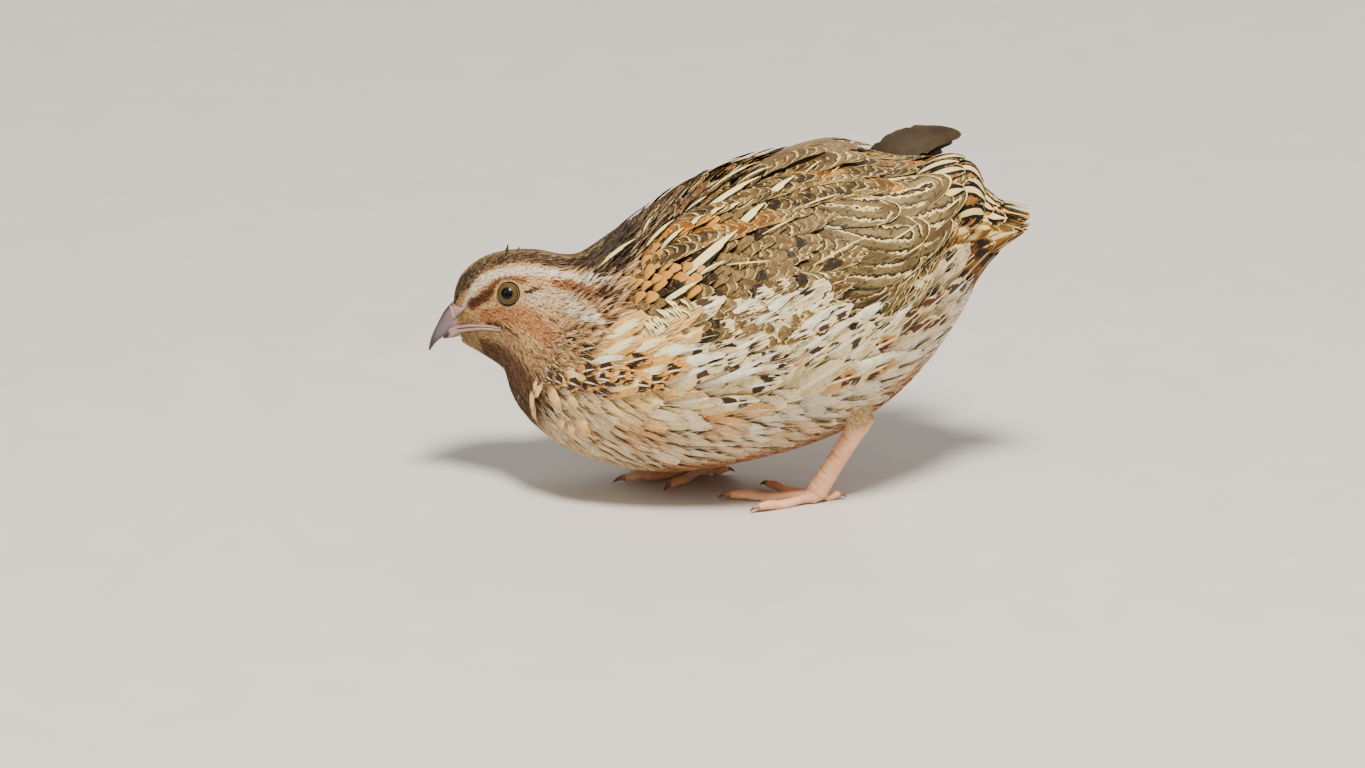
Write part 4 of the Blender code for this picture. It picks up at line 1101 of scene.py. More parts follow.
FAR = math.inf
ANY = (-FAR, FAR)
BODY_MARKS = (  # look, and between which t, which angles and which chances it is painted
    ("breast_top", (-FAR, 8.2), (62, FAR), (0.3, FAR)),
    ("breast", (5.4, 8.6), ANY, ANY),
    ("side", (8.2, FAR), (104, 138), (-FAR, 0.75)),
    ("neck", (-FAR, 7.6), (28, 100), ANY),
    ("neck_fleck", (5.0, 7.4), (60, 104), (-FAR, 0.25)),
    ("breast_warm", (6.4, 10.5), (108, 136), ANY),
    ("flank", (8.8, 12.6), (-FAR, 112), ANY),
    ("breast_side", (6.8, 9.0), (72, 106), (-FAR, 0.8)),
    ("flank_spot", (8.6, 12.6), (-FAR, 98), (-FAR, 0.3)),
    ("vent", (12.3, FAR), (60, FAR), ANY),
    ("vent_spot", (12.3, FAR), (60, 125), (-FAR, 0.16)),
    ("undertail", (13.9, FAR), (92, FAR), ANY),
    ("rump_side", (12.6, FAR), (-FAR, 84), ANY),
    ("mantle", (7.0, 11.9), (-FAR, 62), ANY),
    ("mantle_rufous", (7.0, 11.9), (-FAR, 62), (-FAR, 0.3)),
    ("mantle_grey", (8.5, 11.9), (-FAR, 62), (0.3, 0.6)),
    ("mantle_streak", (6.5, 11.9), (-FAR, 62), (0.84, FAR)),
    ("rump", (11.6, FAR), (-FAR, 50), ANY),
    ("nape", (5.6, 7.2), (-FAR, 42), ANY),
)


def between(values, ends):
    return (values > ends[0]) & (values < ends[1])


def paint(rows, share, name):
    """Draws rows of looks towards a look, by a share for each row."""
    rows += np.asarray(share, float)[:, None] * (LOOKS[name] - rows)


def soften(t, angle, points):
    """t and angle with ragged borders, apart from the head."""
    wander = ease((t - 3.0) / 3.0)
    return (t + 0.35 * (noise(points, 4.0, 1) - 0.5) * wander,
            angle + 9.0 * (noise(points, 4.0, 2) - 0.5) * wander)


def paint_body(rows, t, angle, points, chance, ruffle):
    light = noise(points, 5.0, 6)
    paint(rows, (chance < light * 1.6 - 0.3) & (angle < 130), "breast_light")
    paint(rows, (chance > 0.7 + light) & (angle < 130), "breast_top")
    paint(rows, ease((angle - 134) / 12), "belly")
    paint(rows, ease((angle - 146) / 10), "under")
    only = {
        "breast": angle > 106 + 3 * (8 - t).clip(0, 3),
        "breast_warm": noise(points, 9.0, 8) > 0.56,
    }
    for name, *ends in BODY_MARKS:
        inside = between(t, ends[0]) & between(angle, ends[1]) & between(chance, ends[2])
        paint(rows, inside & only.get(name, True), name)
    for spot_t, spot_a, size in RUFOUS_PATCHES:
        near = np.linalg.norm(points - coat(spot_t, spot_a), axis=-1) < size * ruffle
        paint(rows, near, "flank_rufous")
    for width, share, line in BREAST_ROWS:
        near = away_from(points, coat(*np.array(line).T)) < width * ruffle
        paint(rows, near & (chance < share), "breast_spot")


def darken_spots(rows, a, points):
    """Gives the feather nearest to each dark spot, on either side, a look with a spot."""
    for spot_t, spot_a in DARK_SPOTS:
        gaps = np.linalg.norm(points - coat(spot_t - 0.35, spot_a), axis=-1)
        for side, _ in SIDES:
            own = np.where(np.sign(a) == side, gaps, np.inf)
            near = own.argmin()
            if own[near] < 6.0:
                rows[near] = LOOKS["flank_spot" if spot_a < 104 or spot_t > 10.5 else "breast_spot"]


def paint_head(rows, t, angle, soft_a, points, chance, ruffle):
    head = (t < 5.2 + 0.6 * (noise(points, 3.0, 4) - 0.5)) & (angle > 20)
    paint(rows, head, "face")
    paint(rows, head * ease((angle - 92) / 12), "malar")
    paint(rows, (t < 6.0) * (t > 1.2) * ease((soft_a - 110) / 10), "throat")
    paint(rows, head & between(angle, (68, 112)) & (t > 1.8) & (chance < 0.16), "fleck")
    edge = border(CROWN_EDGE, t)
    crown = (angle < edge + 3 * (ruffle - 1)) & (t < 6.6)
    paint(rows, crown, "crown")
    paint(rows, crown & (angle > edge - 7) & between(t, (1.6, 5.2)) & (chance < 0.75), "crown_edge")
    paint(rows, crown & (chance < 0.34), "crown_dark")
    paint(rows, crown & (chance > 0.82) & (t < 5.6), "crown_buff")
    paint(rows, crown & (np.abs(points[:, 1]) < 0.8) & between(t, (1.0, 5.8)), "crown_stripe")
    for name, width, soft, line in STROKES:
        far = away_from(points, coat(*np.array(line).T))
        paint(rows, ease((width * ruffle - far) / soft + 0.5), name)
    rim = np.linalg.norm(points - EYES[1][0], axis=-1)
    paint(rows, 0.8 * ease((4.2 - rim) / 0.5), "eye_edge")


def coat_looks(t, a, rng):
    """The look of each feather of the body, one row of numbers for each."""
    angle = fold_angle(a)
    points = coat(t, angle)
    soft_t, soft_a = soften(t, angle, points)
    chance = rng.random(len(t))
    ruffle = 0.8 + 0.4 * noise(points, 1.2, 3)
    rows = looks_of(["breast"] * len(t))
    paint_body(rows, soft_t, soft_a, points, chance, ruffle)
    darken_spots(rows, a, points)
    paint_head(rows, t, angle, soft_a, points, chance, ruffle)
    calm = np.maximum(0.24 * ease((8.4 - t) / 1.4), 0.3 * ease((soft_a - 112) / 14))[:, None]
    for first in (0, 3, 6):
        inks = rows[:, first : first + 3]
        inks += calm * ((inks @ GREY_SHARES)[:, None] - inks)
    return rows


def group_of(t, a):
    """The piece that a body feather belongs to."""
    angle = fold_angle(a)
    side = np.where(a >= 0, "left", "right")
    name = np.char.add("head_face_", side)
    for inside, group in (
        (t >= CHEEK_START, np.char.add("head_cheek_", side)),
        (t >= NECK_START, np.char.add("neck_feathers_", side)),
        (t >= BREAST_START, np.char.add("body_breast_", side)),
        ((t >= FLANK_START) & (angle < 125), np.char.add("body_flank_", side)),
        ((t >= FLANK_START) & (angle >= 125), "body_belly"),
        ((t >= MANTLE_START) & (angle < 55), "body_mantle"),
        (t >= VENT_START, "body_vent"),
        ((t >= RUMP_START) & (angle < 62), "body_rump"),
    ):
        name = np.where(inside, group, name)
    return name


def headings(t, a, turn):
    """Unit steps along the coat, turned upwards from the body's line by turn in radians."""
    along, _, normal = slopes(t, a)
    ahead = unit(along)
    sign = np.where(a >= 0, 1.0, -1.0)[:, None]
    down = np.cross(ahead, normal) * sign
    return ahead * np.cos(turn)[:, None] - down * np.sin(turn)[:, None]


def reach_from(t, a, way, length):
    """The (t, a) that lies length millimetres from t and a along way."""
    along, round_, _ = slopes(t, a)
    step_t, step_a = coat_step(along, round_, way)
    return np.stack([t + length * step_t, a + length * step_a], -1)


def round_eyes(points, way):
    """Turns steps that would run into an eye to pass round it."""
    for middle, out in EYES.values():
        gap = points - middle
        gap = gap - dot(gap, out)[:, None] * out
        far = np.linalg.norm(gap, axis=1)
        pull = np.interp(far, (3.4, 6.0), (0.85, 0.0)) * (np.sign(points[:, 1]) == np.sign(middle[1]))
        radial = gap / np.maximum(far, 1e-6)[:, None]
        inward = np.minimum(dot(way, radial), 0.0) * pull
        way = way - radial * inward[:, None]
    return way


def eye_gap(points):
    return np.minimum(*(np.linalg.norm(points - middle, axis=-1) for middle, _ in EYES.values()))


def grow_body(rng):
    """The body's own feathers, from the bill to the rump."""

    def spacing(t, a):
        thinned = 1.6 * wing_share(t, a) * (t < VENT_START)
        return tract_length(t, a) * border(SPACING_SHARE, t) * (1 + thinned)

    t, a = scatter(spacing, 0.04, 15.3, rng)
    points = coat(t, a)
    keep = (wing_share(t, a) < 0.75) | (t > VENT_START)
    keep &= eye_gap(points) > EYE_OPENING + 0.12
    keep &= ~on_bill_plates(points)
    t, a = t[keep], a[keep]
    points = coat(t, a)
    looks = coat_looks(t, a, rng)
    length = tract_length(t, a) * (0.85 + 0.3 * rng.random(len(t)))
    length *= np.interp(eye_gap(points), EYE_REACH, (0.5, 1.0))
    width = length * border(WIDTH_SHARE, t) * (0.9 + 0.2 * rng.random(len(t)))
    turn = np.radians(flow(t, a) + 9.0 * rng.standard_normal(len(t)))
    way = round_eyes(points, headings(t, a, turn))
    root, tip = np.stack([t, a], -1), reach_from(t, a, way, length)
    sunk = depth(t, a) + 0.25
    lift = 0.3 * rng.random(len(t)) * ease((t - 1.5) / 4.0) - 0.12
    change = np.interp(t, (4.0, 7.0), (0.08, 0.14))
    looks[:, 0:9] *= (1 + change * (2 * rng.random(len(t)) - 1))[:, None]
    soft = (t > 7.0) & ~((t < 12.6) & (fold_angle(a) < 60)) & ~((t >= RUMP_START) & (fold_angle(a) < 84))
    kinds = np.where(t < 4.4, "tuft", np.where(t < 6.2, "small", np.where(soft, "soft", "contour")))
    groups = group_of(t, a)
    for group in np.unique(groups):
        for kind in np.unique(kinds):
            own = (groups == group) & (kinds == kind)
            if own.any():
                heights = (-sunk[own], -0.42 * sunk[own], lift[own])
                tilt = np.interp(t[own], (3.0, 6.0), (0.02, 0.045))
                roll = tilt * rng.standard_normal(own.sum()) * length[own]
                lay(str(group), str(kind), root[own], tip[own], width[own], heights, looks[own], rng,
                    roll=roll, camber=0.12)


MARK_COLUMNS = (BAR, STREAK, FRINGE, SPOT, RIM, LACE)


def grow_head_hair(rng):
    """Fine loose barbs over the small feathers of the head."""

    def spacing(t, a):
        return np.interp(t, (0.0, 1.0, 3.0, 5.0, 5.8, 7.4), (0.3, 0.36, 0.46, 0.6, 0.95, 1.7))

    t, a = scatter(spacing, 0.04, 7.4, rng)
    points = coat(t, a)
    keep = (eye_gap(points) > EYE_OPENING + 0.3) & ~on_bill_plates(points)
    t, a, points = t[keep], a[keep], points[keep]
    count = len(t)
    looks = coat_looks(t, a, rng)
    chance = rng.random(count)[:, None]
    inks = np.where(chance < 0.25, looks[:, 3:6], np.where(chance < 0.5, looks[:, 6:9], looks[:, 0:3]))
    looks[:, 0:3] = 0.5 * looks[:, 0:3] + 0.5 * inks
    vary(looks, 0.85, 0.3, rng)
    looks[:, MARK_COLUMNS] = 0.0
    length = tract_length(t, a) * (0.6 + 0.4 * rng.random(count))
    length *= np.interp(eye_gap(points), EYE_REACH, (0.45, 1.0))
    turn = np.radians(flow(t, a) + 14.0 * rng.standard_normal(count))
    way = round_eyes(points, headings(t, a, turn))
    root, tip = np.stack([t, a], -1), reach_from(t, a, way, length)
    lift = 0.02 + 0.14 * rng.random(count)
    groups = np.where(a >= 0, "head_hair_left", "head_hair_right")
    for group in np.unique(groups):
        own = groups == group
        heights = (-0.4, 0.02, lift[own])
        lay(str(group), "hair", root[own], tip[own], 0.11, heights, looks[own], rng, camber=0.0)


def grow_wisps(rng):
    """Loose silky strands over breast, flanks and vent."""

    def spacing(t, a):
        a = fold_angle(a)
        covered = (a < 56) | ((t < 12.2) & (a < border(WING_LOWER, t) - 6) & (t > 7.0))
        return np.where(covered, 40.0, np.interp(t, (5.0, 7.0, 9.0, 14.0), (0.95, 1.25, 1.5, 1.4)))

    t, a = scatter(spacing, 5.4, 15.0, rng)
    keep = (t < 13.6) | (fold_angle(a) > 80)
    t, a = t[keep], a[keep]
    points = coat(t, a)
    looks = coat_looks(t, a, rng)
    count = len(t)
    pale = rng.random(count)[:, None] ** 1.5 * 0.35
    looks[:, 0:3] = looks[:, 0:3] * (1 - pale) + looks[:, 6:9] * pale
    dark = (looks[:, SPOT] > 0.5) & (rng.random(count) < 0.5)
    looks[dark, 0:3] = looks[dark, 3:6]
    vary(looks, 0.85, 0.3, rng)
    looks[:, MARK_COLUMNS] = 0.0
    length = tract_length(t, a) * (0.3 + 0.3 * rng.random(count))
    comb = 30.0 * (noise(points, 3.5, 9) - 0.5)
    way = headings(t, a, np.radians(flow(t, a) + comb + 6.0 * rng.standard_normal(count)))
    root, tip = np.stack([t, a], -1), reach_from(t, a, way, length)
    groups = np.where(a >= 0, "body_strands_left", "body_strands_right")
    lift = (0.05 + 0.2 * rng.random(count)) * np.interp(np.abs(a), (100, 128), (1.0, 0.2))
    width = np.interp(t, (5.4, 8.0), (0.12, 0.15)) * (0.8 + 0.4 * rng.random(count))
    for group in np.unique(groups):
        own = groups == group
        heights = (-0.9, -0.1, lift[own])
        lay(str(group), "wisp", root[own], tip[own], width[own], heights, looks[own], rng,
            bulge=rng.standard_normal(own.sum()), camber=0.0)


FLANK_TOP = (
    (7.6, 66.0), (7.97, 72.0), (8.64, 71.0), (9.63, 66.5), (10.5, 70.5), (11.18, 77.5), (11.7, 88.0),
    (12.2, 95.0),
)
WHITE_STREAKS = (  # long white feathers of the flank: root, tip and width
    ((9.75, 96.0), (10.95, 76.5), 2.6), ((11.0, 91.0), (11.68, 82.8), 2.4),
    ((9.2, 86.5), (10.25, 69.2), 2.6), ((8.4, 96.0), (9.35, 88.0), 3.0),
    ((10.8, 110.0), (12.0, 113.0), 3.0), ((11.4, 99.0), (12.32, 91.5), 1.6),
    ((7.9, 84.5), (8.4, 77.0), 2.0), ((8.0, 92.0), (9.0, 84.5), 2.4), ((10.3, 96.0), (11.3, 84.0), 2.0),
    ((8.9, 80.0), (9.7, 70.5), 1.8), ((6.9, 96.0), (7.9, 90.0), 1.8), ((9.0, 102.0), (10.2, 96.0), 1.8),
)
FLANK_SPOTS = (  # middle of each dark spot, its size in mm, and the look
    ((8.67, 94.2), 2.6, "breast_spot"), ((9.2, 92.2), 2.8, "flank_spot"),
    ((8.49, 98.8), 2.4, "breast_spot"), ((10.19, 100.2), 3.2, "flank_spot"),
    ((10.02, 103.8), 2.8, "flank_spot"), ((9.72, 110.0), 2.6, "flank_spot"),
    ((9.45, 73.8), 2.6, "flank_spot"), ((9.65, 69.5), 2.6, "flank_spot"),
    ((9.9, 66.8), 2.4, "flank_spot"), ((9.91, 78.8), 2.6, "flank_grey"),
    ((10.19, 78.2), 2.4, "flank_grey"), ((10.6, 71.8), 3.6, "flank_grey"),
    ((10.94, 81.2), 3.2, "flank_grey"), ((10.67, 84.5), 3.0, "flank_grey"),
    ((10.35, 86.8), 2.8, "flank_grey"), ((10.01, 92.0), 2.4, "flank_grey"),
    ((11.49, 90.5), 2.6, "flank_spot"), ((11.68, 103.8), 3.2, "flank_rufous"),
    ((11.1, 112.2), 3.0, "flank_rufous"), ((11.67, 116.0), 3.4, "flank_rufous"),
    ((13.0, 122.0), 2.2, "vent_spot"), ((13.58, 115.0), 3.0, "flank_grey"),
    ((9.21, 79.2), 2.2, "flank_spot"), ((8.9, 86.0), 2.2, "flank_spot"),
    ((8.3, 101.0), 2.4, "breast_spot"), ((7.9, 98.0), 2.2, "breast_spot"),
    ((8.1, 90.0), 2.2, "breast_spot"), ((12.3, 99.0), 2.0, "vent_spot"),
    ((12.9, 104.0), 2.2, "vent_spot"), ((12.6, 112.0), 2.0, "vent_spot"),
    ((6.1, 109.5), 2.0, "breast_spot"), ((6.5, 109.0), 2.2, "breast_spot"),
    ((6.95, 107.0), 2.4, "breast_spot"), ((7.35, 104.0), 2.4, "breast_spot"),
    ((7.65, 101.0), 2.6, "breast_spot"), ((8.0, 97.5), 2.6, "breast_spot"),
    ((7.2, 97.5), 2.0, "breast_spot"), ((7.6, 95.0), 2.0, "breast_spot"),
)


def grow_flanks(rng):
    """Long silky feathers that rise from the flank over the wing's lower edge."""
    for side, label in SIDES:
        body, strands = f"body_flank_{label}", f"body_strands_{label}"
        for row, (count, drop, reach) in enumerate(((13, 0.0, 1.2), (13, 11.0, 1.15), (12, 22.0, 1.1))):
            tip_t = np.linspace(8.3, 12.0, count) + 0.1 * rng.standard_normal(count) - 0.12 * row
            tip_a = border(FLANK_TOP, tip_t) + drop + 2.5 * rng.standard_normal(count)
            root = np.stack([tip_t - reach, tip_a + 14.0 + 3.0 * rng.random(count)], -1)
            tip = np.stack([tip_t, tip_a], -1)
            names = rng.choice(("flank_grey", "flank_spot", "flank", "flank_rufous"), count,
                               p=(0.45, 0.31, 0.12, 0.12))
            looks = vary(looks_of(np.where(tip_t < 9.2, "breast_side", names)), 0.88, 0.2, rng)
            top = 1.2 - 0.3 * row
            width = 6.2 + 1.4 * rng.random(count)
            lay(body, "soft", root, tip, width, (-2.4, 0.3 * top, top), looks, rng, side,
                bulge=-2.0, roll=0.25, camber=0.1)
            add_strands(strands, root, tip, side, 22, top, rng)

        spot, size, names = columns(FLANK_SPOTS)
        if side == -1:
            spot = spot + rng.standard_normal(spot.shape) * (0.12, 2.0)
        way = np.stack([0.62 + 0 * size, np.where(spot[:, 1] < 100, -6.0, -2.2)], -1)
        looks = looks_of(names)
        looks[:, SPOT] = 1.0
        lay(body, "soft", spot - way * 0.9, spot + way * 0.34, size * 2.0, (-1.8, 0.4, 1.55), looks, rng,
            side, bulge=-1.0, roll=0.1, camber=0.1)

        root, tip, width = columns(WHITE_STREAKS)
        looks = looks_of(["flank"] * len(root))
        looks[:, 0:3] = looks[:, 6:9] * 0.98
        lay(body, "soft", root, tip, width * 1.1, (-1.4, 0.9, 1.75), looks, rng, side,
            bulge=-2.0, roll=0.1, camber=0.2)
        add_strands(strands, root, tip, side, 60, 1.2, rng)


COLLAR = (  # pale feathers with broad ends across the lower throat: root, tip and width
    ((5.35, 124.0), (6.24, 141.5), 1.7), ((5.68, 115.5), (5.96, 127.2), 1.4),
    ((6.0, 115.5), (6.98, 123.2), 3.0), ((6.15, 105.5), (6.77, 109.0), 2.0),
    ((6.32, 103.2), (7.21, 101.5), 2.0), ((6.76, 114.0), (7.31, 118.0), 2.6),
    ((6.94, 130.5), (7.23, 136.5), 1.8), ((7.22, 129.5), (7.5, 137.2), 1.8),
    ((7.32, 123.5), (7.76, 132.2), 3.0), ((5.29, 114.5), (5.87, 124.5), 1.3),
    ((7.03, 94.0), (8.0, 93.8), 1.0), ((5.7, 133.0), (6.5, 148.0), 1.8),
)


def grow_collar(rng):
    for side, label in SIDES:
        root, tip, width = columns(COLLAR)
        looks = vary(looks_of(["collar"] * len(root)), 0.94, 0.12, rng)
        lay(f"neck_feathers_{label}", "soft", root, tip, 1.3 * width, (-0.9, 0.6, 0.9), looks, rng, side,
            camber=0.2)


def add_strands(group, root, tip, side, count, top, rng):
    """Fine white strands along the feathers that run from root to tip."""
    pick = rng.integers(0, len(root), count)
    shift = rng.standard_normal((count, 2)) * (0.07, 1.8)
    part = 0.25 + 0.4 * rng.random(count)[:, None]
    start = root[pick] + (tip[pick] - root[pick]) * part + shift
    end = start + (tip[pick] - root[pick]) * (0.35 + 0.35 * rng.random(count))[:, None]
    looks = looks_of(["flank"] * count)
    looks[:, 0:3] = looks[:, 6:9] * (0.72 + 0.25 * rng.random(count))[:, None]
    looks[:, STREAK] = 0.0
    lay(group, "wisp", start, end, 0.16, (-0.6, 0.5 * top + 0.3, top + 0.1), looks, rng, side,
        bulge=-1.0, camber=0.0)


# Wings


def spread(count, roots, tips, rng, jitter=0.0):
    """A tier's roots and tips, from its lowest feather to its highest."""
    share = np.linspace(0.0, 1.0, count)[:, None]
    pair = []
    for low, high in (roots, tips):
        line = np.array(low) + (np.array(high) - np.array(low)) * share
        pair.append(line + rng.standard_normal((count, 2)) * jitter * (0.05, 1.0))
    return pair


# count, roots and tips (lowest, highest), width, heights, bulge, kind, looks, jitter
WING_TIERS = (
    (8, ((9.7, 88), (10.9, 77)), ((12.7, 90), (13.8, 58)), 6.0, (-2.6, -1.0, -0.4), 10, "flight",
     ("primary",), 0.3),
    (15, ((9.1, 82), (11.0, 22)), ((12.0, 90), (14.0, 26)), 6.6, (-2.4, -0.3, 0.3), 9, "flight",
     ("secondary",), 0.4),
    (14, ((8.2, 80), (10.1, 26)), ((10.5, 86), (12.2, 36)), 7.2, (-2.2, 0.0, 0.9), 3, "covert",
     ("covert_bar", "covert_bar", "covert_dark"), 1.0),
    (14, ((7.7, 76), (9.4, 28)), ((9.5, 81), (11.1, 36)), 6.8, (-2.0, 0.2, 1.1), 2, "covert",
     ("covert", "covert_bar", "covert_dark", "covert"), 1.2),
)
TERTIALS = (  # root, tip, width, tip's height
    ((9.4, 47.0), (12.66, 66.0), 14.0, 0.7),
    ((9.6, 40.0), (13.3, 62.0), 15.0, 0.9),
    ((9.8, 30.0), (13.75, 44.0), 15.0, 1.1),
    ((9.9, 22.0), (13.3, 30.0), 13.0, 1.4),
    ((9.8, 33.0), (12.65, 55.0), 15.0, 1.5),
    ((9.5, 25.0), (12.0, 40.0), 12.0, 1.7),
)
SHAFTS = (  # thin cream lines along the wing: front end and rear end
    ((10.41, 61.0), (11.27, 52.8)), ((10.11, 36.8), (10.81, 32.8)), ((9.51, 45.8), (9.99, 42.0)),
    ((11.66, 56.8), (12.36, 52.0)), ((10.61, 9.5), (10.84, 1.0)), ((10.62, 21.0), (11.34, 2.0)),
    ((10.12, 19.8), (10.46, 12.8)), ((9.01, 55.5), (9.73, 57.0)), ((8.6, 57.5), (8.94, 54.2)),
    ((13.04, 53.0), (13.54, 48.5)),
)
HUMP = (  # plain feathers that bulge up over the middle of the back: root and tip
    ((9.1, 10.0), (10.6, 6.0)), ((9.3, -4.0), (10.9, -4.0)), ((9.7, 5.0), (11.2, 1.0)),
    ((9.6, -12.0), (11.1, -14.0)), ((10.0, -3.0), (11.5, -7.0)), ((9.9, 14.0), (11.4, 10.0)),
)

SCAPULARS = (  # the visible streak's front and rear end, and how wide the streak is
    ((6.26, 30.2), (7.07, 26.8), 1.5), ((7.75, 39.8), (8.15, 35.5), 1.2),
    ((8.14, 35.0), (8.44, 31.8), 1.3), ((8.42, 32.0), (8.79, 30.2), 1.2),
    ((8.53, 25.2), (9.38, 17.0), 1.7), ((8.43, 54.2), (9.14, 41.5), 2.0),
    ((9.08, 39.5), (9.5, 32.0), 1.8), ((9.43, 29.2), (10.0, 20.0), 1.7),
    ((8.63, 57.0), (9.01, 54.0), 0.9), ((8.18, 66.0), (8.66, 60.2), 1.2),
    ((9.07, 13.0), (9.56, 12.2), 0.9), ((8.62, 9.8), (9.35, 5.5), 1.0),
    ((8.78, 31.2), (9.06, 29.8), 1.1), ((7.13, 19.8), (7.35, 14.5), 1.0),
    ((7.4, 33.0), (7.9, 28.0), 1.2),
)


def grow_wings(rng):
    for side, label in SIDES:
        for count, roots, tips, width, heights, bulge, kind, names, jitter in WING_TIERS:
            root, tip = spread(count, roots, tips, rng, jitter)
            looks = vary(looks_of(rng.choice(names, count)), 0.88, 0.24, rng)
            lay(f"wing_{kind}s_{label}", kind, root, tip, width, heights, looks, rng, side,
                bulge=bulge * np.linspace(1.0, 0.4, count), roll=0.35, camber=0.1)
        for root, tip, width, top in TERTIALS:
            looks = vary(looks_of(["tertial"]), 0.9, 0.2, rng)
            lay(f"wing_flights_{label}", "flight", [root], [tip], width, (-1.5, 0.6 * top, top), looks,
                rng, side, bulge=5.0, roll=0.4, camber=0.1)
        grow_small_coverts(side, label, rng)
        grow_scapulars(side, label, rng)
        root, tip = columns(SHAFTS)
        lay(f"wing_scapulars_{label}", "wisp", root, tip, 0.42, (1.2, 1.9, 1.9),
            looks_of(["shaft"] * len(root)), rng, side, camber=0.0)
    root, tip = columns(HUMP)
    looks = looks_of(rng.choice(("covert_plain", "mantle_grey", "covert_plain"), len(root)))
    roll = 0.2 * rng.standard_normal(len(root))
    lay("body_mantle", "covert", root, tip, 7.6, (-1.0, 2.5, 2.6), looks, rng, roll=roll)


def grow_small_coverts(side, label, rng):
    """Small feathers over the wing's front, plain at the bend."""

    def spacing(t, a):
        return np.interp(t, (7.0, 8.0, 10.0), (1.7, 2.2, 3.0))

    t, a = scatter(spacing, 6.9, 9.9, rng)
    upper, lower = border(WING_UPPER, t), border(WING_LOWER, t)
    keep = (a > upper - 2) & (a < lower + 1) & (a < 95)
    t, a = t[keep], a[keep]
    count = len(t)
    length = np.interp(t, (7.0, 8.0, 10.0), (4.6, 6.0, 8.4)) * (0.9 + 0.2 * rng.random(count))
    turn = np.radians(7.0 * rng.standard_normal(count) - np.interp(a, (30, 80), (2, 4)))
    root, tip = np.stack([t, a], -1), reach_from(t, a, headings(t, a, turn), length)
    chance = rng.random(count)
    names = np.where(chance < 0.55, "covert_plain", np.where(chance < 0.8, "covert", "covert_dark"))
    names = np.where((t > 8.9) & (chance > 0.3) & (chance < 0.6), "covert_bar", names)
    bend = (t < 8.45) & (a > 34) & (a < 66) & (chance < 0.9)
    names = np.where(bend, "bend", names)
    looks = vary(looks_of(names), 0.9, 0.2, rng)
    lift = np.interp(t, (7.0, 7.6, 9.9), (0.2, 0.7, 1.2))
    lay(f"wing_small_{label}", "contour", root, tip, length * 0.66, (-1.6, 0.45 * lift, lift), looks, rng,
        side, roll=0.2)


SCAPULAR_ROWS = (  # count, roots, tips and jitter of the rows between the streaked feathers
    (12, ((7.0, 46), (10.3, 22)), ((8.6, 46), (12.3, 26)), 1.5),
    (12, ((7.0, 34), (10.4, 14)), ((8.5, 31), (12.4, 14)), 1.5),
    (7, ((9.2, 12), (11.0, 6)), ((11.0, 12), (12.7, 6)), 1.0),
)


def grow_scapulars(side, label, rng):
    """Long feathers over the shoulder, many with a cream streak that tapers to a point."""
    front, rear, streak = columns(SCAPULARS)
    if side == -1:
        shift = rng.standard_normal((len(SCAPULARS), 2)) * (0.12, 2.5)
        front, rear = front + shift, rear + shift
    root, tip = front - (rear - front) * 0.45, rear
    width = streak * 3.4
    looks = looks_of(["scapular"] * len(front))
    looks[:, STREAK] = 1.15 * streak / width
    top = np.interp(tip[:, 0], (7.2, 8.2), (0.7, 1.6))
    group = f"wing_scapulars_{label}"
    lay(group, "lance", root, tip, width, (-1.0, 0.7 * top, top), looks, rng, side, roll=0.1, camber=0.08)

    rows = [spread(count, roots, tips, rng, jitter) for count, roots, tips, jitter in SCAPULAR_ROWS]
    root, tip = (np.concatenate(ends) for ends in zip(*rows))
    names = ("scapular_plain", "mantle_rufous", "mantle_grey", "scapular_plain")
    looks = vary(looks_of(rng.choice(names, len(root))), 0.88, 0.24, rng)
    lay(group, "covert", root, tip, 6.6, (-1.4, 0.8, 1.1), looks, rng, side, roll=0.25, camber=0.1)


def grow_shoulder_tuft(rng):
    """Curled cream feathers with black edges, at the front of the wing's lower edge."""
    count = 20
    for side, label in SIDES:
        start = np.linspace(0.0, 1.0, count)
        root = np.stack([7.7 + 0.6 * start, 76.0 - 8.0 * start + 1.5 * rng.standard_normal(count)], -1)
        way = np.radians(-30.0 + 8.0 * rng.standard_normal(count))
        ahead = headings(root[:, 0], root[:, 1], way)
        tip = reach_from(root[:, 0], root[:, 1], ahead, 5.0 + 1.5 * rng.random(count))
        looks = looks_of(["scapular"] * count)
        looks[:, (STREAK, RIM)] = 0.55, 0.35
        width = 1.0 + 0.4 * rng.random(count)
        lay(f"wing_small_{label}", "lance", root, tip, width, (-0.8, 1.2, 0.9), looks, rng, side,
            bulge=-2.5, roll=0.1)


def grow_raised(rng):
    """Flight feathers of the right wing that stand up behind the back."""
    root = np.array(((36.0, 15.0, 84.0), (37.5, 19.0, 80.0), (37.0, 17.0, 82.0)))
    tip = np.array(((60.8, 21.5, 90.4), (56.0, 25.5, 84.6), (58.6, 24.0, 87.6)))
    bake = bake_place(np.array((11.3, 11.5, 11.6)), np.array((-24.0, -30.0, -34.0)))
    fly("wing_raised", "flight", root, tip, (0.0, -0.66, 0.75), (9.5, 8.0, 8.6),
        looks_of(["raised"] * 3), rng, arch=3.8, curl=-0.6, camber=0.1, bake=bake)


# Tail


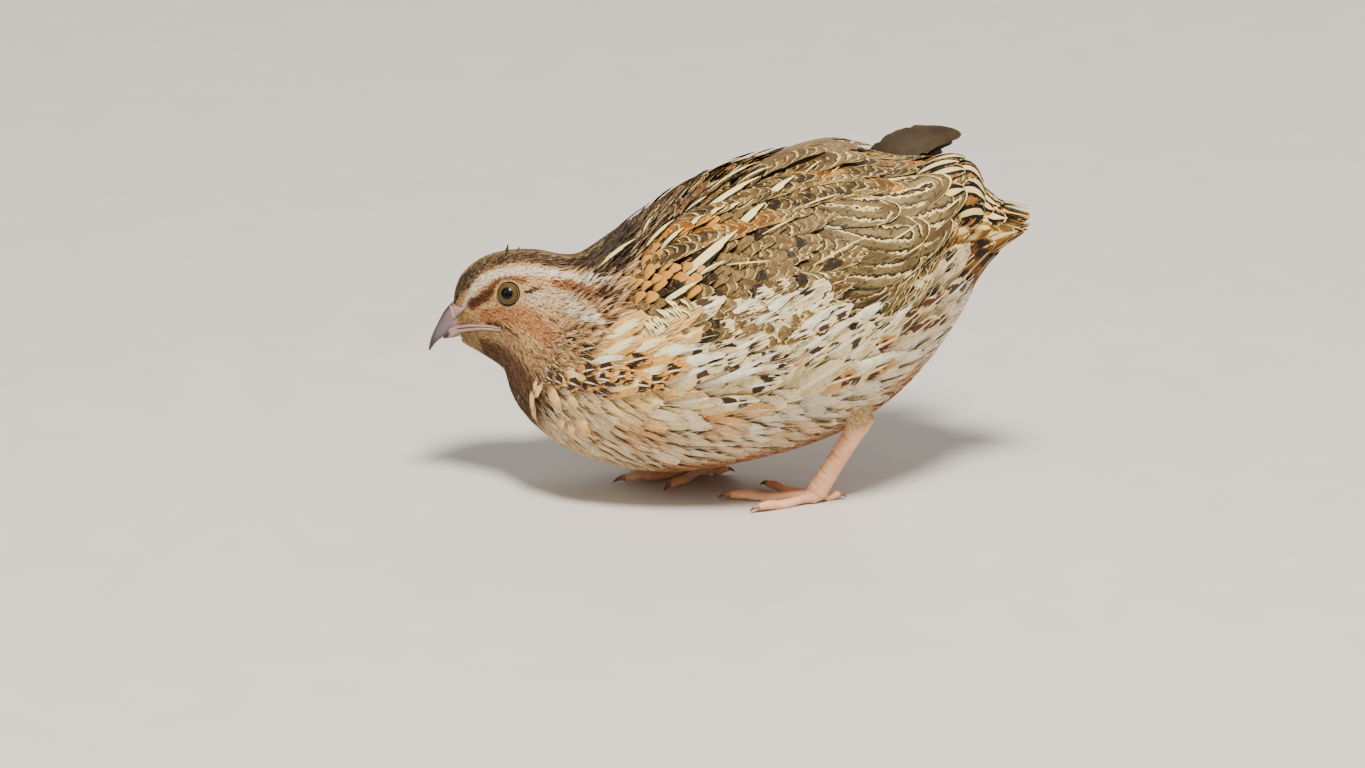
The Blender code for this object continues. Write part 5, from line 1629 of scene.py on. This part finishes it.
TAIL_ROWS = (  # lower rows of the tail: count, root's z, tip's x and z
    (9, 77.4, 78.6, 74.9), (8, 76.4, 77.6, 73.4), (7, 75.2, 76.8, 72.0),
)
TAIL_COVERTS = (  # look, count, first and last a, t of roots and of tips, width, heights
    ("rump", 7, -40, 40, 12.3, 13.7, 6.4, (-1.8, 0.9, 1.0)),
    ("rump", 9, -56, 56, 13.3, 14.7, 6.2, (-1.7, 0.9, 1.2)),
    ("rump", 9, -56, 56, 14.1, 15.4, 5.6, (-1.6, 0.8, 1.2)),
    ("rump_side", 6, 62, 108, 13.8, 15.2, 5.6, (-1.5, 0.5, 0.9)),
    ("rump_side", 6, -108, -62, 13.8, 15.2, 5.6, (-1.5, 0.5, 0.9)),
    ("undertail", 10, 112, 248, 13.7, 15.2, 5.8, (-1.5, 0.5, 0.9)),
    ("undertail", 9, 118, 242, 14.5, 15.8, 5.0, (-1.5, 0.3, 0.2)),
    ("undertail", 8, 126, 234, 14.7, 15.9, 4.4, (-1.4, -0.4, -1.4)),
    ("tail", 8, -64, 64, 14.6, 15.95, 4.6, (-1.4, -0.3, -1.2)),
    ("rump_side", 3, 68, 112, 14.5, 15.9, 4.4, (-1.4, -0.3, -1.0)),
    ("rump_side", 3, -112, -68, 14.5, 15.9, 4.4, (-1.4, -0.3, -1.0)),
)


def grow_tail(rng):
    """Short stiff tail feathers under long soft coverts."""
    count = 10
    out = np.arange(count) - (count - 1) / 2
    order = np.abs(out)
    root = np.stack([62.5 + 0 * out, out * 0.8, 79.2 - order * 0.8], -1)
    tip = np.stack([80.0 - 0.3 * order - 1.5 * rng.random(count), out * 1.4, 76.8 - order * 1.0], -1)
    tip[:, 2] += 0.8 * rng.standard_normal(count)
    fly("tail_feathers", "lance", root, tip, UPWARDS, 5.0, looks_of(["tail"] * count), rng,
        arch=0.3, curl=-0.6, bake=bake_place(14.6 + 0 * out, out * 9.0))

    for size, root_z, tip_x, tip_z in TAIL_ROWS:
        out = np.arange(size) - (size - 1) / 2
        root = np.stack([63.0 + 0 * out, out * 0.8, root_z - 0.3 * np.abs(out)], -1)
        tip = np.stack([tip_x - 0.3 * np.abs(out), out * 1.3, tip_z - 0.35 * np.abs(out)], -1)
        looks = looks_of(rng.choice(("tail", "undertail", "rump_side"), size))
        fly("tail_feathers", "covert", root, tip, UPWARDS, 4.4, looks, rng, arch=0.2, curl=-0.3,
            bake=bake_place(15.2 + 0 * out, out * 16.0))
    for name, size, first, last, rooted, tipped, width, heights in TAIL_COVERTS:
        share = np.linspace(0.0, 1.0, size)
        angle = first + (last - first) * share + rng.standard_normal(size) * 3
        root = np.stack([rooted + rng.standard_normal(size) * 0.1, angle], -1)
        tip = np.stack([tipped + rng.standard_normal(size) * 0.12, angle], -1)
        looks = vary(looks_of([name] * size), 0.88, 0.24, rng)
        roll = 0.2 * rng.standard_normal(size)
        lay("tail_coverts", "covert", root, tip, width, heights, looks, rng, roll=roll, camber=0.14)


# Legs


def leg_lines():
    """For each leg: its name, place, turn, side, the shank's two ends, knee and thigh's end."""
    legs = []
    for side, label, place, heel, knee, shows, turn in (
        (1, "left", LEFT_FOOT, LEFT_HEEL, LEFT_KNEE, LEFT_SHANK, LEFT_TURN),
        (-1, "right", RIGHT_FOOT, RIGHT_HEEL, RIGHT_KNEE, RIGHT_SHANK, RIGHT_TURN),
    ):
        ankle = np.array((*place, ANKLE_HEIGHT))
        up = unit(np.array(heel) - ankle)
        cuff = ankle + up * (shows - THIGH_CUFF)
        top, bottom = ankle + up * shows, ankle + up * SHANK_START
        legs.append((label, place, turn, side, top, bottom, np.array(knee), cuff))
    return legs


def full_turn(count):
    return np.arange(count) * math.tau / count


def tube_rings(centres, radii, flatten=1.0, guide=(0.0, 1.0, 0.0)):
    """Rings of points round a line, with the first point towards guide and radii for each point."""
    ahead = unit(np.gradient(centres, axis=0))
    guide = np.array(guide)
    side = unit(guide - dot(ahead, guide)[:, None] * ahead)
    up = np.cross(ahead, side)
    angle = full_turn(radii.shape[1])[None, :, None]
    ring = np.cos(angle) * side[:, None] + flatten * np.sin(angle) * up[:, None]
    return centres[:, None] + radii[..., None] * ring


def plain_rings(centres, radii, sides, flatten=1.0):
    return tube_rings(centres, np.repeat(radii[:, None], sides, axis=1), flatten)


def above_floor(rings):
    rings[..., 2] = np.maximum(rings[..., 2], FLOOR_GAP)
    return rings


def closed_tube(rings):
    """Points and faces of a tube with a point at the middle of each end."""
    count, sides = rings.shape[:2]
    points = np.concatenate([rings.reshape(-1, 3), rings[[0, -1]].mean(axis=1)])
    j = np.arange(sides)
    k = (j + 1) % sides
    first = np.arange(count - 1)[:, None] * sides
    quads = fields(first + j, first + k, first + sides + k, first + sides + j)
    front, back = len(points) - 2 + 0 * j, len(points) - 1 + 0 * j
    start = np.stack([front, k, j], -1)
    end = np.stack([back, (count - 1) * sides + j, (count - 1) * sides + k], -1)
    return points, quads.reshape(-1, 4), np.concatenate([start, end])


class Pile:
    """Joins closed tubes into one mesh with a zone colour."""

    def __init__(self):
        self.points, self.quads, self.triangles, self.zones, self.size = [], [], [], [], 0

    def add(self, rings, zone):
        points, quads, triangles = closed_tube(rings)
        ends = zone[[0, -1]].mean(axis=1)
        self.points.append(points)
        self.quads.append(quads + self.size)
        self.triangles.append(triangles + self.size)
        self.zones.append(np.concatenate([zone.reshape(-1, 3), ends]))
        self.size += len(points)

    def make(self, name, finish, slot, replaced=()):
        faces = (np.concatenate(part) for part in (self.quads, self.triangles))
        mesh = build_mesh(name, np.concatenate(self.points), *faces)
        face_outwards(mesh)
        zones = np.concatenate(self.zones)
        add_colour(mesh, "zone", np.c_[zones, np.ones(len(zones))])
        return new_object(name, mesh, finish, slot, replaced)


def scutes(distance, period):
    """Height of overlapping plates along a line, from 0 in a groove to 1."""
    share = (distance / period) % 1.0
    return np.minimum(share / 0.18, 1.0) * (1 - 0.35 * share)


def groove_zone(groove):
    return fields(groove, 0.0, 0.0)


TOE_KNUCKLES = ((-0.08, 0.8), (0.12, 1.0), (0.3, 0.86), (0.5, 1.0), (0.66, 0.84), (0.82, 0.92), (1.0, 0.7))


def add_toe(skin, claws, base, heading, length, thick, claw):
    turned = math.radians(heading)
    ahead = np.array((-math.cos(turned), math.sin(turned), 0.0))
    share = np.linspace(TOE_KNUCKLES[0][0], 1.0, 56)
    centres = base + ahead * length * share[:, None]
    centres[:, 2] += 0.12 * thick * np.sin(share * 9.0) * (share > 0)
    top = ease(np.sin(full_turn(18)) * 1.4 + 0.2)[None]
    plates = scutes(share * length, TOE_SCUTE)[:, None]
    radii = thick / 2 * border(TOE_KNUCKLES, share)[:, None] * (1 + top * (plates - 0.7) * 0.13)
    radii = radii * (1 + 0.10 * (1 - top) * np.abs(np.sin(share * length * 2.4))[:, None])
    guide = (0.0, -1.0 if ahead[0] > 0 else 1.0, 0.0)
    groove = top * (1 - np.minimum(plates / 0.8, 1.0))
    skin.add(above_floor(tube_rings(centres, radii, guide=guide)), groove_zone(groove))

    share = np.linspace(0.0, 1.0, 14)
    tip = centres[-1] - ahead * 0.6
    line = tip + ahead * (claw + 0.4) * share[:, None]
    line[:, 2] += 0.35 * np.sin(share * math.pi) - 0.75 * share**2
    line[:, 2] = np.maximum(line[:, 2], 0.28)
    radii = thick / 2 * 0.66 * (1 - share**1.3 * 0.93)
    zone = np.repeat(groove_zone(share)[:, None], 12, axis=1)
    claws.add(above_floor(plain_rings(line, radii, 12, 1.15)), zone)


SHANK_KNUCKLES = (1.0, 1.08, 1.0, 0.94, 0.92, 0.92, 0.95, 1.0, 1.04)
PAD = (  # under the toes' roots: x from the foot's middle, z and half width
    (1.6, 1.2, 0.8), (0.4, 1.7, 2.2), (-0.8, 1.9, 2.7), (-2.2, 1.6, 2.3), (-3.4, 1.2, 0.9),
)


def add_shank(skin, top, bottom):
    share = np.linspace(0.0, 1.0, 90)
    down = unit(bottom - top)
    start, end = top - down * 1.5, bottom + down * 1.2
    reach = np.linalg.norm(end - start)
    centres = start + (end - start) * share[:, None]
    front = ease(np.sin(full_turn(24)) * 1.3 + 0.3)[None]
    plates = scutes(share * reach, SHANK_SCUTE)[:, None]
    small = scutes(share * reach + 0.3, REAR_SCUTE)[:, None]
    knuckle = np.interp(share, np.linspace(0, 1, len(SHANK_KNUCKLES)), SHANK_KNUCKLES)
    radii = TARSUS_THICK / 2 * knuckle[:, None]
    radii = radii * (1 + front * (plates - 0.7) * 0.10 + (1 - front) * (small - 0.7) * 0.04)
    groove = front * (1 - np.minimum(plates / 0.8, 1.0))
    groove = groove + (1 - front) * 0.5 * (1 - np.minimum(small / 0.8, 1.0))
    skin.add(tube_rings(centres, radii, 1.12, guide=(0.0, -1.0, 0.0)), groove_zone(groove))


def add_pad(skin, x, y):
    steps = np.linspace(0, len(PAD) - 1, 20)
    ahead, height, wide = (np.interp(steps, range(len(PAD)), column) for column in columns(PAD))
    rings = plain_rings(fields(x + ahead, y, height), wide, 18, 0.85)
    skin.add(above_floor(rings), np.zeros((20, 18, 3)))


def make_legs(finish, claw_finish):
    for label, (x, y), turn, side, top, bottom, _, _ in leg_lines():
        skin, claws = Pile(), Pile()
        add_shank(skin, top, bottom)
        add_pad(skin, x, y)
        for _, dx, dy, heading, length, thick, claw in TOES:
            base = np.array((x + dx, y + dy * side, TOE_LIFT))
            add_toe(skin, claws, base, (turn + heading) * side, length, thick, claw)
        skin.make(f"{label}_leg_skin", finish, "leg_skin", (f"{label}_tarsus", f"{label}_foot"))
        claws.make(f"{label}_claws", claw_finish, "horn")


def thigh_radius(share):
    return THIGH_THICK / 2 + (CUFF_THICK - THIGH_THICK) / 2 * share**1.2


def grow_thighs(rng):
    """Short soft feathers down the leg, which thin out over the top of the bare shank."""
    for label, _, _, side, _, _, knee, cuff in leg_lines():
        axis = unit(cuff - knee)
        reach = np.linalg.norm(cuff - knee)
        side_way = unit(np.cross(axis, (0.0, 1.0, 0.0)))
        other = np.cross(axis, side_way)
        for kind, count, width, long, lift in (("tuft", 1300, 1.2, 2.6, 0.0), ("wisp", 350, 0.1, 2.4, 0.1)):
            share = rng.random(count) ** 0.7 * 0.97
            turn = rng.random(count) * math.tau
            out = side_way * np.cos(turn)[:, None] + other * np.sin(turn)[:, None]
            root = knee + axis * (share * reach)[:, None] + out * (thigh_radius(share) - 0.9)[:, None]
            end = share * reach + long * (0.8 + 0.4 * rng.random(count))
            end = np.minimum(end, reach + 1.6 * rng.random(count))
            over = np.maximum(end - reach, 0.0)
            tip_radius = thigh_radius(np.minimum(end / reach, 1.0)) - 0.8 * over
            tip_radius = np.maximum(tip_radius, 2.5) + lift
            tip = knee + axis * end[:, None] + out * tip_radius[:, None]
            looks = looks_of(rng.choice(("thigh", "side", "belly"), count, p=(0.45, 0.35, 0.2)))
            vary(looks, 0.85, 0.3, rng)
            bake = bake_place(10.5 + share, side * (120 + np.degrees(turn) / 9))
            fly(f"body_thigh_{label}", kind, root, tip, out, width, looks, rng, arch=0.15, bake=bake)


# Head: eyes, lids and bill


def add_eyeball(middle, out, across, over, label, finish):
    centre = middle - out * (math.sqrt(EYE_BALL**2 - EYE_OPENING**2) + 0.25)
    share = np.linspace(0.02, 0.8, 40)
    angle = share * math.pi / 2
    turn = full_turn(48)
    bulge = EYE_BALL * (1 + 0.03 * np.cos(angle) ** 6)
    radius, rise = bulge * np.sin(angle), bulge * np.cos(angle)
    flat = np.cos(turn)[None, :, None] * across + np.sin(turn)[None, :, None] * over
    rings = centre + radius[:, None, None] * flat + rise[:, None, None] * out
    ball = Pile()
    ball.add(rings, fields(share[:, None], turn[None] / math.tau, 0.0))
    ball.make(f"{label}_eyeball", finish, "eye", (f"{label}_eye",))


def add_eyelids(middle, out, across, over, side, label, finish):
    """A wrinkled rim round the eye's opening, slightly lower than it is wide."""
    turn, small = full_turn(64), np.linspace(0.0, math.tau, 15)[:-1]
    wrinkle = 1 + 0.05 * np.sin(turn * 23) + 0.04 * np.sin(turn * 37 + 1)
    direction = np.cos(turn)[:, None] * across + (np.sin(turn) * 0.93)[:, None] * over
    thick = (LID_THICK * wrinkle)[:, None]
    reach = EYE_OPENING - 0.08 + thick * np.cos(small)
    height = thick * np.sin(small) * 0.9 - 0.12
    points = middle + reach[..., None] * direction[:, None] + height[..., None] * out
    i, j = np.arange(64)[:, None], np.arange(14)[None]
    k, n = (i + 1) % 64 * 14, (j + 1) % 14
    quads = fields(i * 14 + j, k + j, k + n, i * 14 + n).reshape(-1, 4)
    name = f"{label}_eyelids"
    mesh = build_mesh(name, points, quads[:, ::side], np.zeros((0, 3)))
    zone = fields((1 + np.cos(small))[None] / 2, turn[:, None] / math.tau, 0.0, 1.0)
    add_colour(mesh, "zone", zone.reshape(-1, 4))
    face_outwards(mesh)
    new_object(name, mesh, finish, "crown_feather")


def make_eyes(finish, lid_finish):
    for side, label in SIDES:
        middle, out = EYES[side]
        across = unit(np.cross(out, UPWARDS))
        over = np.cross(out, across)
        add_eyeball(middle, out, across, over, label, finish)
        add_eyelids(middle, out, across, over, side, label, lid_finish)


def bill_rings(rows, steps, around, sharpness):
    """Rings of half of the bill, closed below by a flat bottom drawn slightly in."""
    curve = cubic(rows)
    at = curve(np.linspace(0, len(rows) - 1, steps))
    ridge_x, ridge_z, edge_x, edge_z, half = at.T
    angle = np.linspace(0.0, math.pi, around)
    rise = np.sin(angle) ** sharpness
    x = edge_x[:, None] + (ridge_x - edge_x)[:, None] * rise
    z = edge_z[:, None] + (ridge_z - edge_z)[:, None] * rise
    y = -half[:, None] * np.cos(angle)
    rings = np.stack([x, y, z], -1)
    under = np.linspace(1.0, -1.0, 7)[1:-1]
    low = np.stack([
        edge_x[:, None] + 0 * under,
        half[:, None] * under,
        edge_z[:, None] + (ridge_z - edge_z)[:, None] * 0.12 * (1 - under**2),
    ], -1)
    rings = np.concatenate([rings, low], axis=1)
    share = np.linspace(0.0, 1.0, steps)
    # edge marks where painted shade goes: along the cutting edges and on the flat bottom inside the mouth
    edge = np.concatenate([1 - ease(rise * 3.0), np.ones(len(under))])
    return rings, fields(share[:, None], np.linspace(0, 1, around + len(under))[None], edge[None])


PLATE_SHARES = np.linspace(0.22, 0.97, 34)
UPPER_LIP, LOWER_LIP = (1.25, 0.35), (1.4, 0.6)  # widths in front and at the back
FLAP = np.array(((-68.5, 50.9), (-72.9, 50.2), (-71.7, 46.4)))  # rear, upper front, lower front


def lip_widths(back):
    """How far the lips reach above and below the mouth line, by the share of the way back."""
    above = UPPER_LIP[0] + (UPPER_LIP[1] - UPPER_LIP[0]) * back
    below = LOWER_LIP[0] + (LOWER_LIP[1] - LOWER_LIP[0]) * back
    return above, below


def on_bill_plates(points):
    """Which of the points lie under a lip or a nostril's flap, where no feather grows."""
    x, z = points[..., 0], points[..., 2]
    mouth = mouth_line(PLATE_SHARES)
    middle = np.interp(x, mouth[:, 0], mouth[:, 1])
    back = (x - mouth[0, 0]) / (mouth[-1, 0] - mouth[0, 0])
    above, below = lip_widths(back)
    lips = (x < mouth[-1, 0]) & (z < middle + above) & (z > middle - below)
    inside = np.ones(np.shape(x), bool)
    for i in range(3):
        (x1, z1), (x2, z2) = FLAP[i], FLAP[(i + 1) % 3]
        inside &= (x2 - x1) * (z - z1) - (z2 - z1) * (x - x1) > -0.3
    return lips | inside


def bill_tree(*pieces):
    """What the plates of the bill are laid on: the bill and the front of the coat."""
    t, a = np.meshgrid(np.linspace(0.0, 4.2, 70), np.linspace(20.0, 150.0, 90), indexing="ij")
    grids = [surface(t, a, -0.12), *pieces]
    points, faces, start = [], [], 0
    for grid in grids:
        rows, across = grid.shape[:2]
        i, j = np.meshgrid(np.arange(rows - 1), np.arange(across - 1), indexing="ij")
        first = start + i * across + j
        quads = np.stack([first, first + 1, first + across + 1, first + across], -1)
        faces.append(quads.reshape(-1, 4))
        points.append(grid.reshape(-1, 3))
        start += rows * across
    return BVHTree.FromPolygons(np.concatenate(points).tolist(), np.concatenate(faces).tolist())


def drape(tree, x, z, out):
    """Points on the left of bill and head that have these x and z, raised by out."""
    places = []
    for one_x, one_z, one_out in zip(x.ravel(), z.ravel(), out.ravel()):
        hit = tree.ray_cast(Vector((one_x, -40.0, one_z)), Vector((0.0, 1.0, 0.0)))
        if hit[0] is None:
            hit = tree.find_nearest(Vector((one_x, -4.0, one_z)))
        place, normal = hit[0], hit[1]
        if normal.y > 0:
            normal = -normal
        places.append(place + normal * one_out)
    return np.array(places).reshape(*x.shape, 3)


def add_plate(pile, tree, upper, lower, high, along, edge_shade, mirror):
    """A low domed plate between two lines of (x, z). The argument before mirror is the strength of painted
    shade along its lower edge, as in the mouth's crevice and the nostril's slit.
    """
    v = np.linspace(0.0, 1.0, 11)
    flat = upper[:, None] + (lower - upper)[:, None] * v[:, None]
    dome = high[:, None] * np.sin(math.pi * (0.04 + 0.92 * v)) ** 0.6
    top = drape(tree, flat[..., 0], flat[..., 1], dome)
    low = drape(tree, flat[:, ::-1, 0], flat[:, ::-1, 1], 0 * dome - 0.6)
    # painted shade along the plate's lower edge
    edge = np.concatenate([edge_shade * ease((v - 0.8) / 0.15), edge_shade + 0 * v])
    zone = fields(along[:, None], 0.0, edge[None])
    pile.add(np.concatenate([top, low], axis=1) * mirror, zone)


UPPER_ROOT = (-70.2, 51.0, -68.6, 45.2, 4.3)  # inside the head, behind the rows of the bill's halves
LOWER_ROOT = (-69.2, 44.4, -68.6, 41.9, 3.9)


def make_bill(finish):
    upper, lower, plates = Pile(), Pile(), Pile()
    top_rings, zone = bill_rings([UPPER_ROOT, *UPPER_BILL], 46, 21, 0.85)
    upper.add(top_rings, zone)
    upper.make("bill_upper", finish, "horn", ("upper_bill",))
    rows = [(low_x, low_z, x, z, half) for x, z, low_x, low_z, half in (LOWER_ROOT, *LOWER_BILL)]
    low_rings, zone = bill_rings(rows, 26, 17, 0.85)
    lower.add(low_rings, zone)
    lower.make("bill_lower", finish, "horn", ("lower_bill",))

    tree = bill_tree(top_rings, low_rings)
    mouth = mouth_line(PLATE_SHARES)
    back = np.linspace(0.0, 1.0, len(mouth))
    slim = np.sin(np.linspace(0.12, 0.99, len(mouth)) * math.pi) ** 0.35
    step = np.array((0.0, 1.0))
    above, below = (width[:, None] * step for width in lip_widths(back))
    u = np.linspace(0.03, 1.0, 22)
    rear, high_front, low_front = FLAP
    high_edge, low_edge = (rear + u[:, None] * (end - rear) for end in (high_front, low_front))
    swell = np.sin(np.linspace(0.06, 0.97, len(u)) * math.pi) ** 0.5
    for side, _ in SIDES:
        mirror = np.array((1.0, side, 1.0))
        # the last number of each row is the strength of painted shade along the plate's lower edge
        for high, low, dome, along, edge_shade in (
            (mouth + above, mouth + 0.08 * step, 0.26 * slim, 0.34 - 0.32 * back, 0.7),
            (mouth - 0.12 * step, mouth - below, 0.24 * slim, 0.05 + 0 * back, 0.3),
            (high_edge, low_edge, 0.42 * swell, 0.12 + 0 * u, 0.9),
        ):
            add_plate(plates, tree, high, low, dome, along, edge_shade, mirror)
    plates.make("bill_plates", finish, "horn")


def grow_bristles(rng):
    """Two loose feathers that stand up from the crown."""
    root = np.array(((-58.6, -0.4, 62.6), (-55.6, 0.5, 63.0)))
    tip = np.array(((-57.2, -0.6, 67.2), (-54.4, 0.6, 66.0)))
    bake = bake_place(np.array((2.6, 3.0)), np.array((3.0, -3.0)))
    fly("head_face_left", "small", root, tip, (-0.6, -1.0, 0.2), (1.2, 0.8), looks_of(["crown"] * 2),
        rng, arch=-0.3, bake=bake)


# Skin


def make_skin(finish):
    """One closed skin from bill to tail, with bowls for the eyes, a mouth's groove and both legs."""
    ts = np.concatenate([np.linspace(0.0, 5.0, 121)[:-1], np.linspace(5.0, TAIL_STUMP, 130)])
    around = 200
    t, a = np.meshgrid(ts, np.arange(around) * 360.0 / around - 180.0, indexing="ij")
    out = -depth(t, a)
    points = coat(t, a)
    out += 0.12 * (noise(points, 3.0, 7) - 0.5)
    mouth = away_from(points[..., (0, 2)], mouth_line(np.linspace(0.15, 1.0, 24)))
    out -= MOUTH_GROOVE * ease(1 - mouth / 0.6) * (t < 3.2)
    for middle, _ in EYES.values():
        far = np.linalg.norm(points - middle, axis=-1)
        out += np.where(far < 6.5, 0.4 * ease(1 - np.abs(far - 3.3) / 1.2), 0.0)
        out -= SOCKET_DEPTH * ease((SOCKET - far) / 0.6)
    rings = surface(t, a, out)
    body, quads, triangles = closed_tube(rings)
    mesh = build_mesh("skin", body, quads, triangles)
    obj = new_object("skin", mesh, finish, "body_feather",
                     ("head", "neck", "torso", "tail", "left_thigh", "right_thigh"))
    add_legs_to_skin(obj)
    paint_skin(obj)


def add_legs_to_skin(obj):
    group = bpy.data.collections.new("thighs")
    bpy.context.scene.collection.children.link(group)
    for *_, knee, cuff in leg_lines():
        share = np.linspace(0.0, 1.0, 30)
        centres = knee + (cuff - knee) * share[:, None]
        radii = thigh_radius(share) - 1.2
        radii[-1] *= 0.6
        lobe = build_mesh("lobe", *closed_tube(plain_rings(centres, radii, 28)))
        group.objects.link(bpy.data.objects.new("lobe", lobe))
    for one in [obj, *group.objects]:
        face_outwards(one.data)
    joined = obj.modifiers.new("joined", "BOOLEAN")
    joined.operation, joined.solver = "UNION", "MANIFOLD"
    joined.operand_type, joined.collection = "COLLECTION", group
    graph = bpy.context.evaluated_depsgraph_get()
    mesh = bpy.data.meshes.new_from_object(obj.evaluated_get(graph))
    obj.modifiers.clear()
    obj.data = mesh
    for lobe in list(group.objects):
        bpy.data.objects.remove(lobe, do_unlink=True)
    bpy.data.collections.remove(group)


def paint_skin(obj):
    """The same colours as the feathers above, by the nearest place on the coat."""
    mesh = obj.data
    points = np.empty(len(mesh.vertices) * 3, np.float32)
    mesh.vertices.foreach_get("co", points)
    points = points.reshape(-1, 3) / MM - SHIFT
    angles = np.linspace(-180, 180, 301)[:-1]
    t, a = (v.ravel() for v in np.meshgrid(np.linspace(0.0, TAIL_STUMP, 420), angles, indexing="ij"))
    tree = tree_of(surface(t, a, -depth(t, a)))
    near = np.array([tree.find(point)[1] for point in points])
    looks = coat_looks(t, a, np.random.default_rng(5))
    looks[wing_share(t, a) > 0.02] = LOOKS["covert"]
    looks = looks[near]
    add_colour(mesh, "ground", np.c_[looks[:, 0:3], np.ones(len(near))])
    add_map(mesh, "OFBake", bake_place(t[near], a[near]))


# Room


def make_room():
    """A plain floor that curves up into a wall behind the bird."""
    reach, rise, curve, steps = 3.0, 2.2, 0.6, 12
    rows = [(-reach, 0.0)]
    for k in range(steps + 1):
        turn = k / steps * math.pi / 2
        rows.append((reach - curve + curve * math.sin(turn), curve - curve * math.cos(turn)))
    rows.append((reach, rise))
    points = [(x, y, z) for y, z in rows for x in (-reach, reach)]
    faces = [(2 * i, 2 * i + 1, 2 * i + 3, 2 * i + 2) for i in range(len(rows) - 1)]
    floor = bpy.data.meshes.new("floor")
    floor.from_pydata(points, [], faces)
    g = Graph("plain_floor")
    grain = g.noise(g.place(), 60.0, 4.0)
    colour = g.mix(grain, (206, 202, 196), (214, 210, 204))
    finish = g.finish(colour, g.smooth(grain, 0.3, 0.7, 0.7, 0.85))
    shade(link("floor", floor), finish)


def aim(obj, target):
    obj.rotation_euler = (Vector(target) - obj.location).to_track_quat("-Z", "Y").to_euler()


LIGHT_TARGET = (0.0, 0.0, 0.05)
LIGHTS = (  # name, place in metres, size, power and colour
    ("key", (0.1, -0.8, 1.55), 0.38, 60.0, (1.0, 0.94, 0.84)),
    ("fill", (-1.5, -1.4, 1.4), 0.8, 7.0, (0.96, 0.97, 1.0)),
    ("back", (0.5, 1.4, 1.3), 1.0, 11.0, (1.0, 0.98, 0.95)),
)
SKY_COLOUR, SKY_STRENGTH = (0.98, 0.97, 0.95, 1.0), 0.3


def add_light(name, place, size, power, colour):
    lamp = bpy.data.lights.new(name, "AREA")
    lamp.shape, lamp.size, lamp.energy, lamp.color = "DISK", size, power, colour
    obj = link(name, lamp)
    obj.location = place
    aim(obj, LIGHT_TARGET)


def make_lights():
    for light in LIGHTS:
        add_light(*light)
    world = bpy.data.worlds.new("studio")
    world.use_nodes = True
    colour, strength = world.node_tree.nodes["Background"].inputs[:2]
    colour.default_value, strength.default_value = SKY_COLOUR, SKY_STRENGTH
    bpy.context.scene.world = world


PHOTO_WIDTH, PHOTO_HEIGHT = 1365, 768
PIXEL = 0.26  # millimetres of the bird for each pixel of the photo
ELEVATION = math.radians(18.0)
AXIS_X, GROUND_Y = 729.0, 486.8  # the photo's pixel of x = 0 and z = 0
NEAR_Y = -12.0  # depth at which the scale is true, near the side that shows
DISTANCE = 2300.0
SENSOR_WIDTH = 36.0


def make_camera():
    side = (PHOTO_WIDTH / 2 - AXIS_X) * PIXEL
    up = (GROUND_Y - PHOTO_HEIGHT / 2) * PIXEL
    height = (up - NEAR_Y * math.sin(ELEVATION)) / math.cos(ELEVATION)
    target = np.array((side, NEAR_Y, height)) + SHIFT
    back = np.array((0.0, -math.cos(ELEVATION), math.sin(ELEVATION))) * DISTANCE
    camera = bpy.data.cameras.new("camera")
    camera.sensor_width = SENSOR_WIDTH
    camera.lens = SENSOR_WIDTH * DISTANCE / (PHOTO_WIDTH * PIXEL)
    camera.clip_start, camera.clip_end = 0.05, 20.0
    obj = link("camera", camera)
    obj.location = Vector((target + back) * MM)
    aim(obj, target * MM)
    bpy.context.scene.camera = obj


def main():
    rng = np.random.default_rng(11)
    make_room()
    make_lights()
    make_camera()
    make_skin(skin_material())
    make_bill(horn_material())
    make_eyes(eye_material(), lid_material())
    make_legs(scute_material(), claw_material())
    grow_body(rng)
    grow_head_hair(rng)
    grow_bristles(rng)
    grow_wisps(rng)
    grow_collar(rng)
    grow_flanks(rng)
    grow_wings(rng)
    grow_shoulder_tuft(rng)
    grow_raised(rng)
    grow_tail(rng)
    grow_thighs(rng)
    finishes = {
        "head": feather_material("head_feathers", barb=0.2, lines=0.5),
        "neck": feather_material("neck_feathers", barb=0.26, lines=0.5),
        "body": feather_material("body_feathers", barb=0.3, lines=0.6),
        "wing": feather_material("wing_feathers", barb=0.32, lines=0.45, shine=0.22, veil=0.02),
        "tail": feather_material("tail_feathers", barb=0.32, lines=0.45, shine=0.22, veil=0.02),
    }
    slots = {
        "head": "crown_feather", "neck": "neck_feather", "body": "body_feather",
        "wing": "wing_feather", "tail": "tail_feather",
    }
    COAT.make(finishes, slots, {f"wing_flights_{label}": (f"{label}_wing",) for _, label in SIDES})


main()
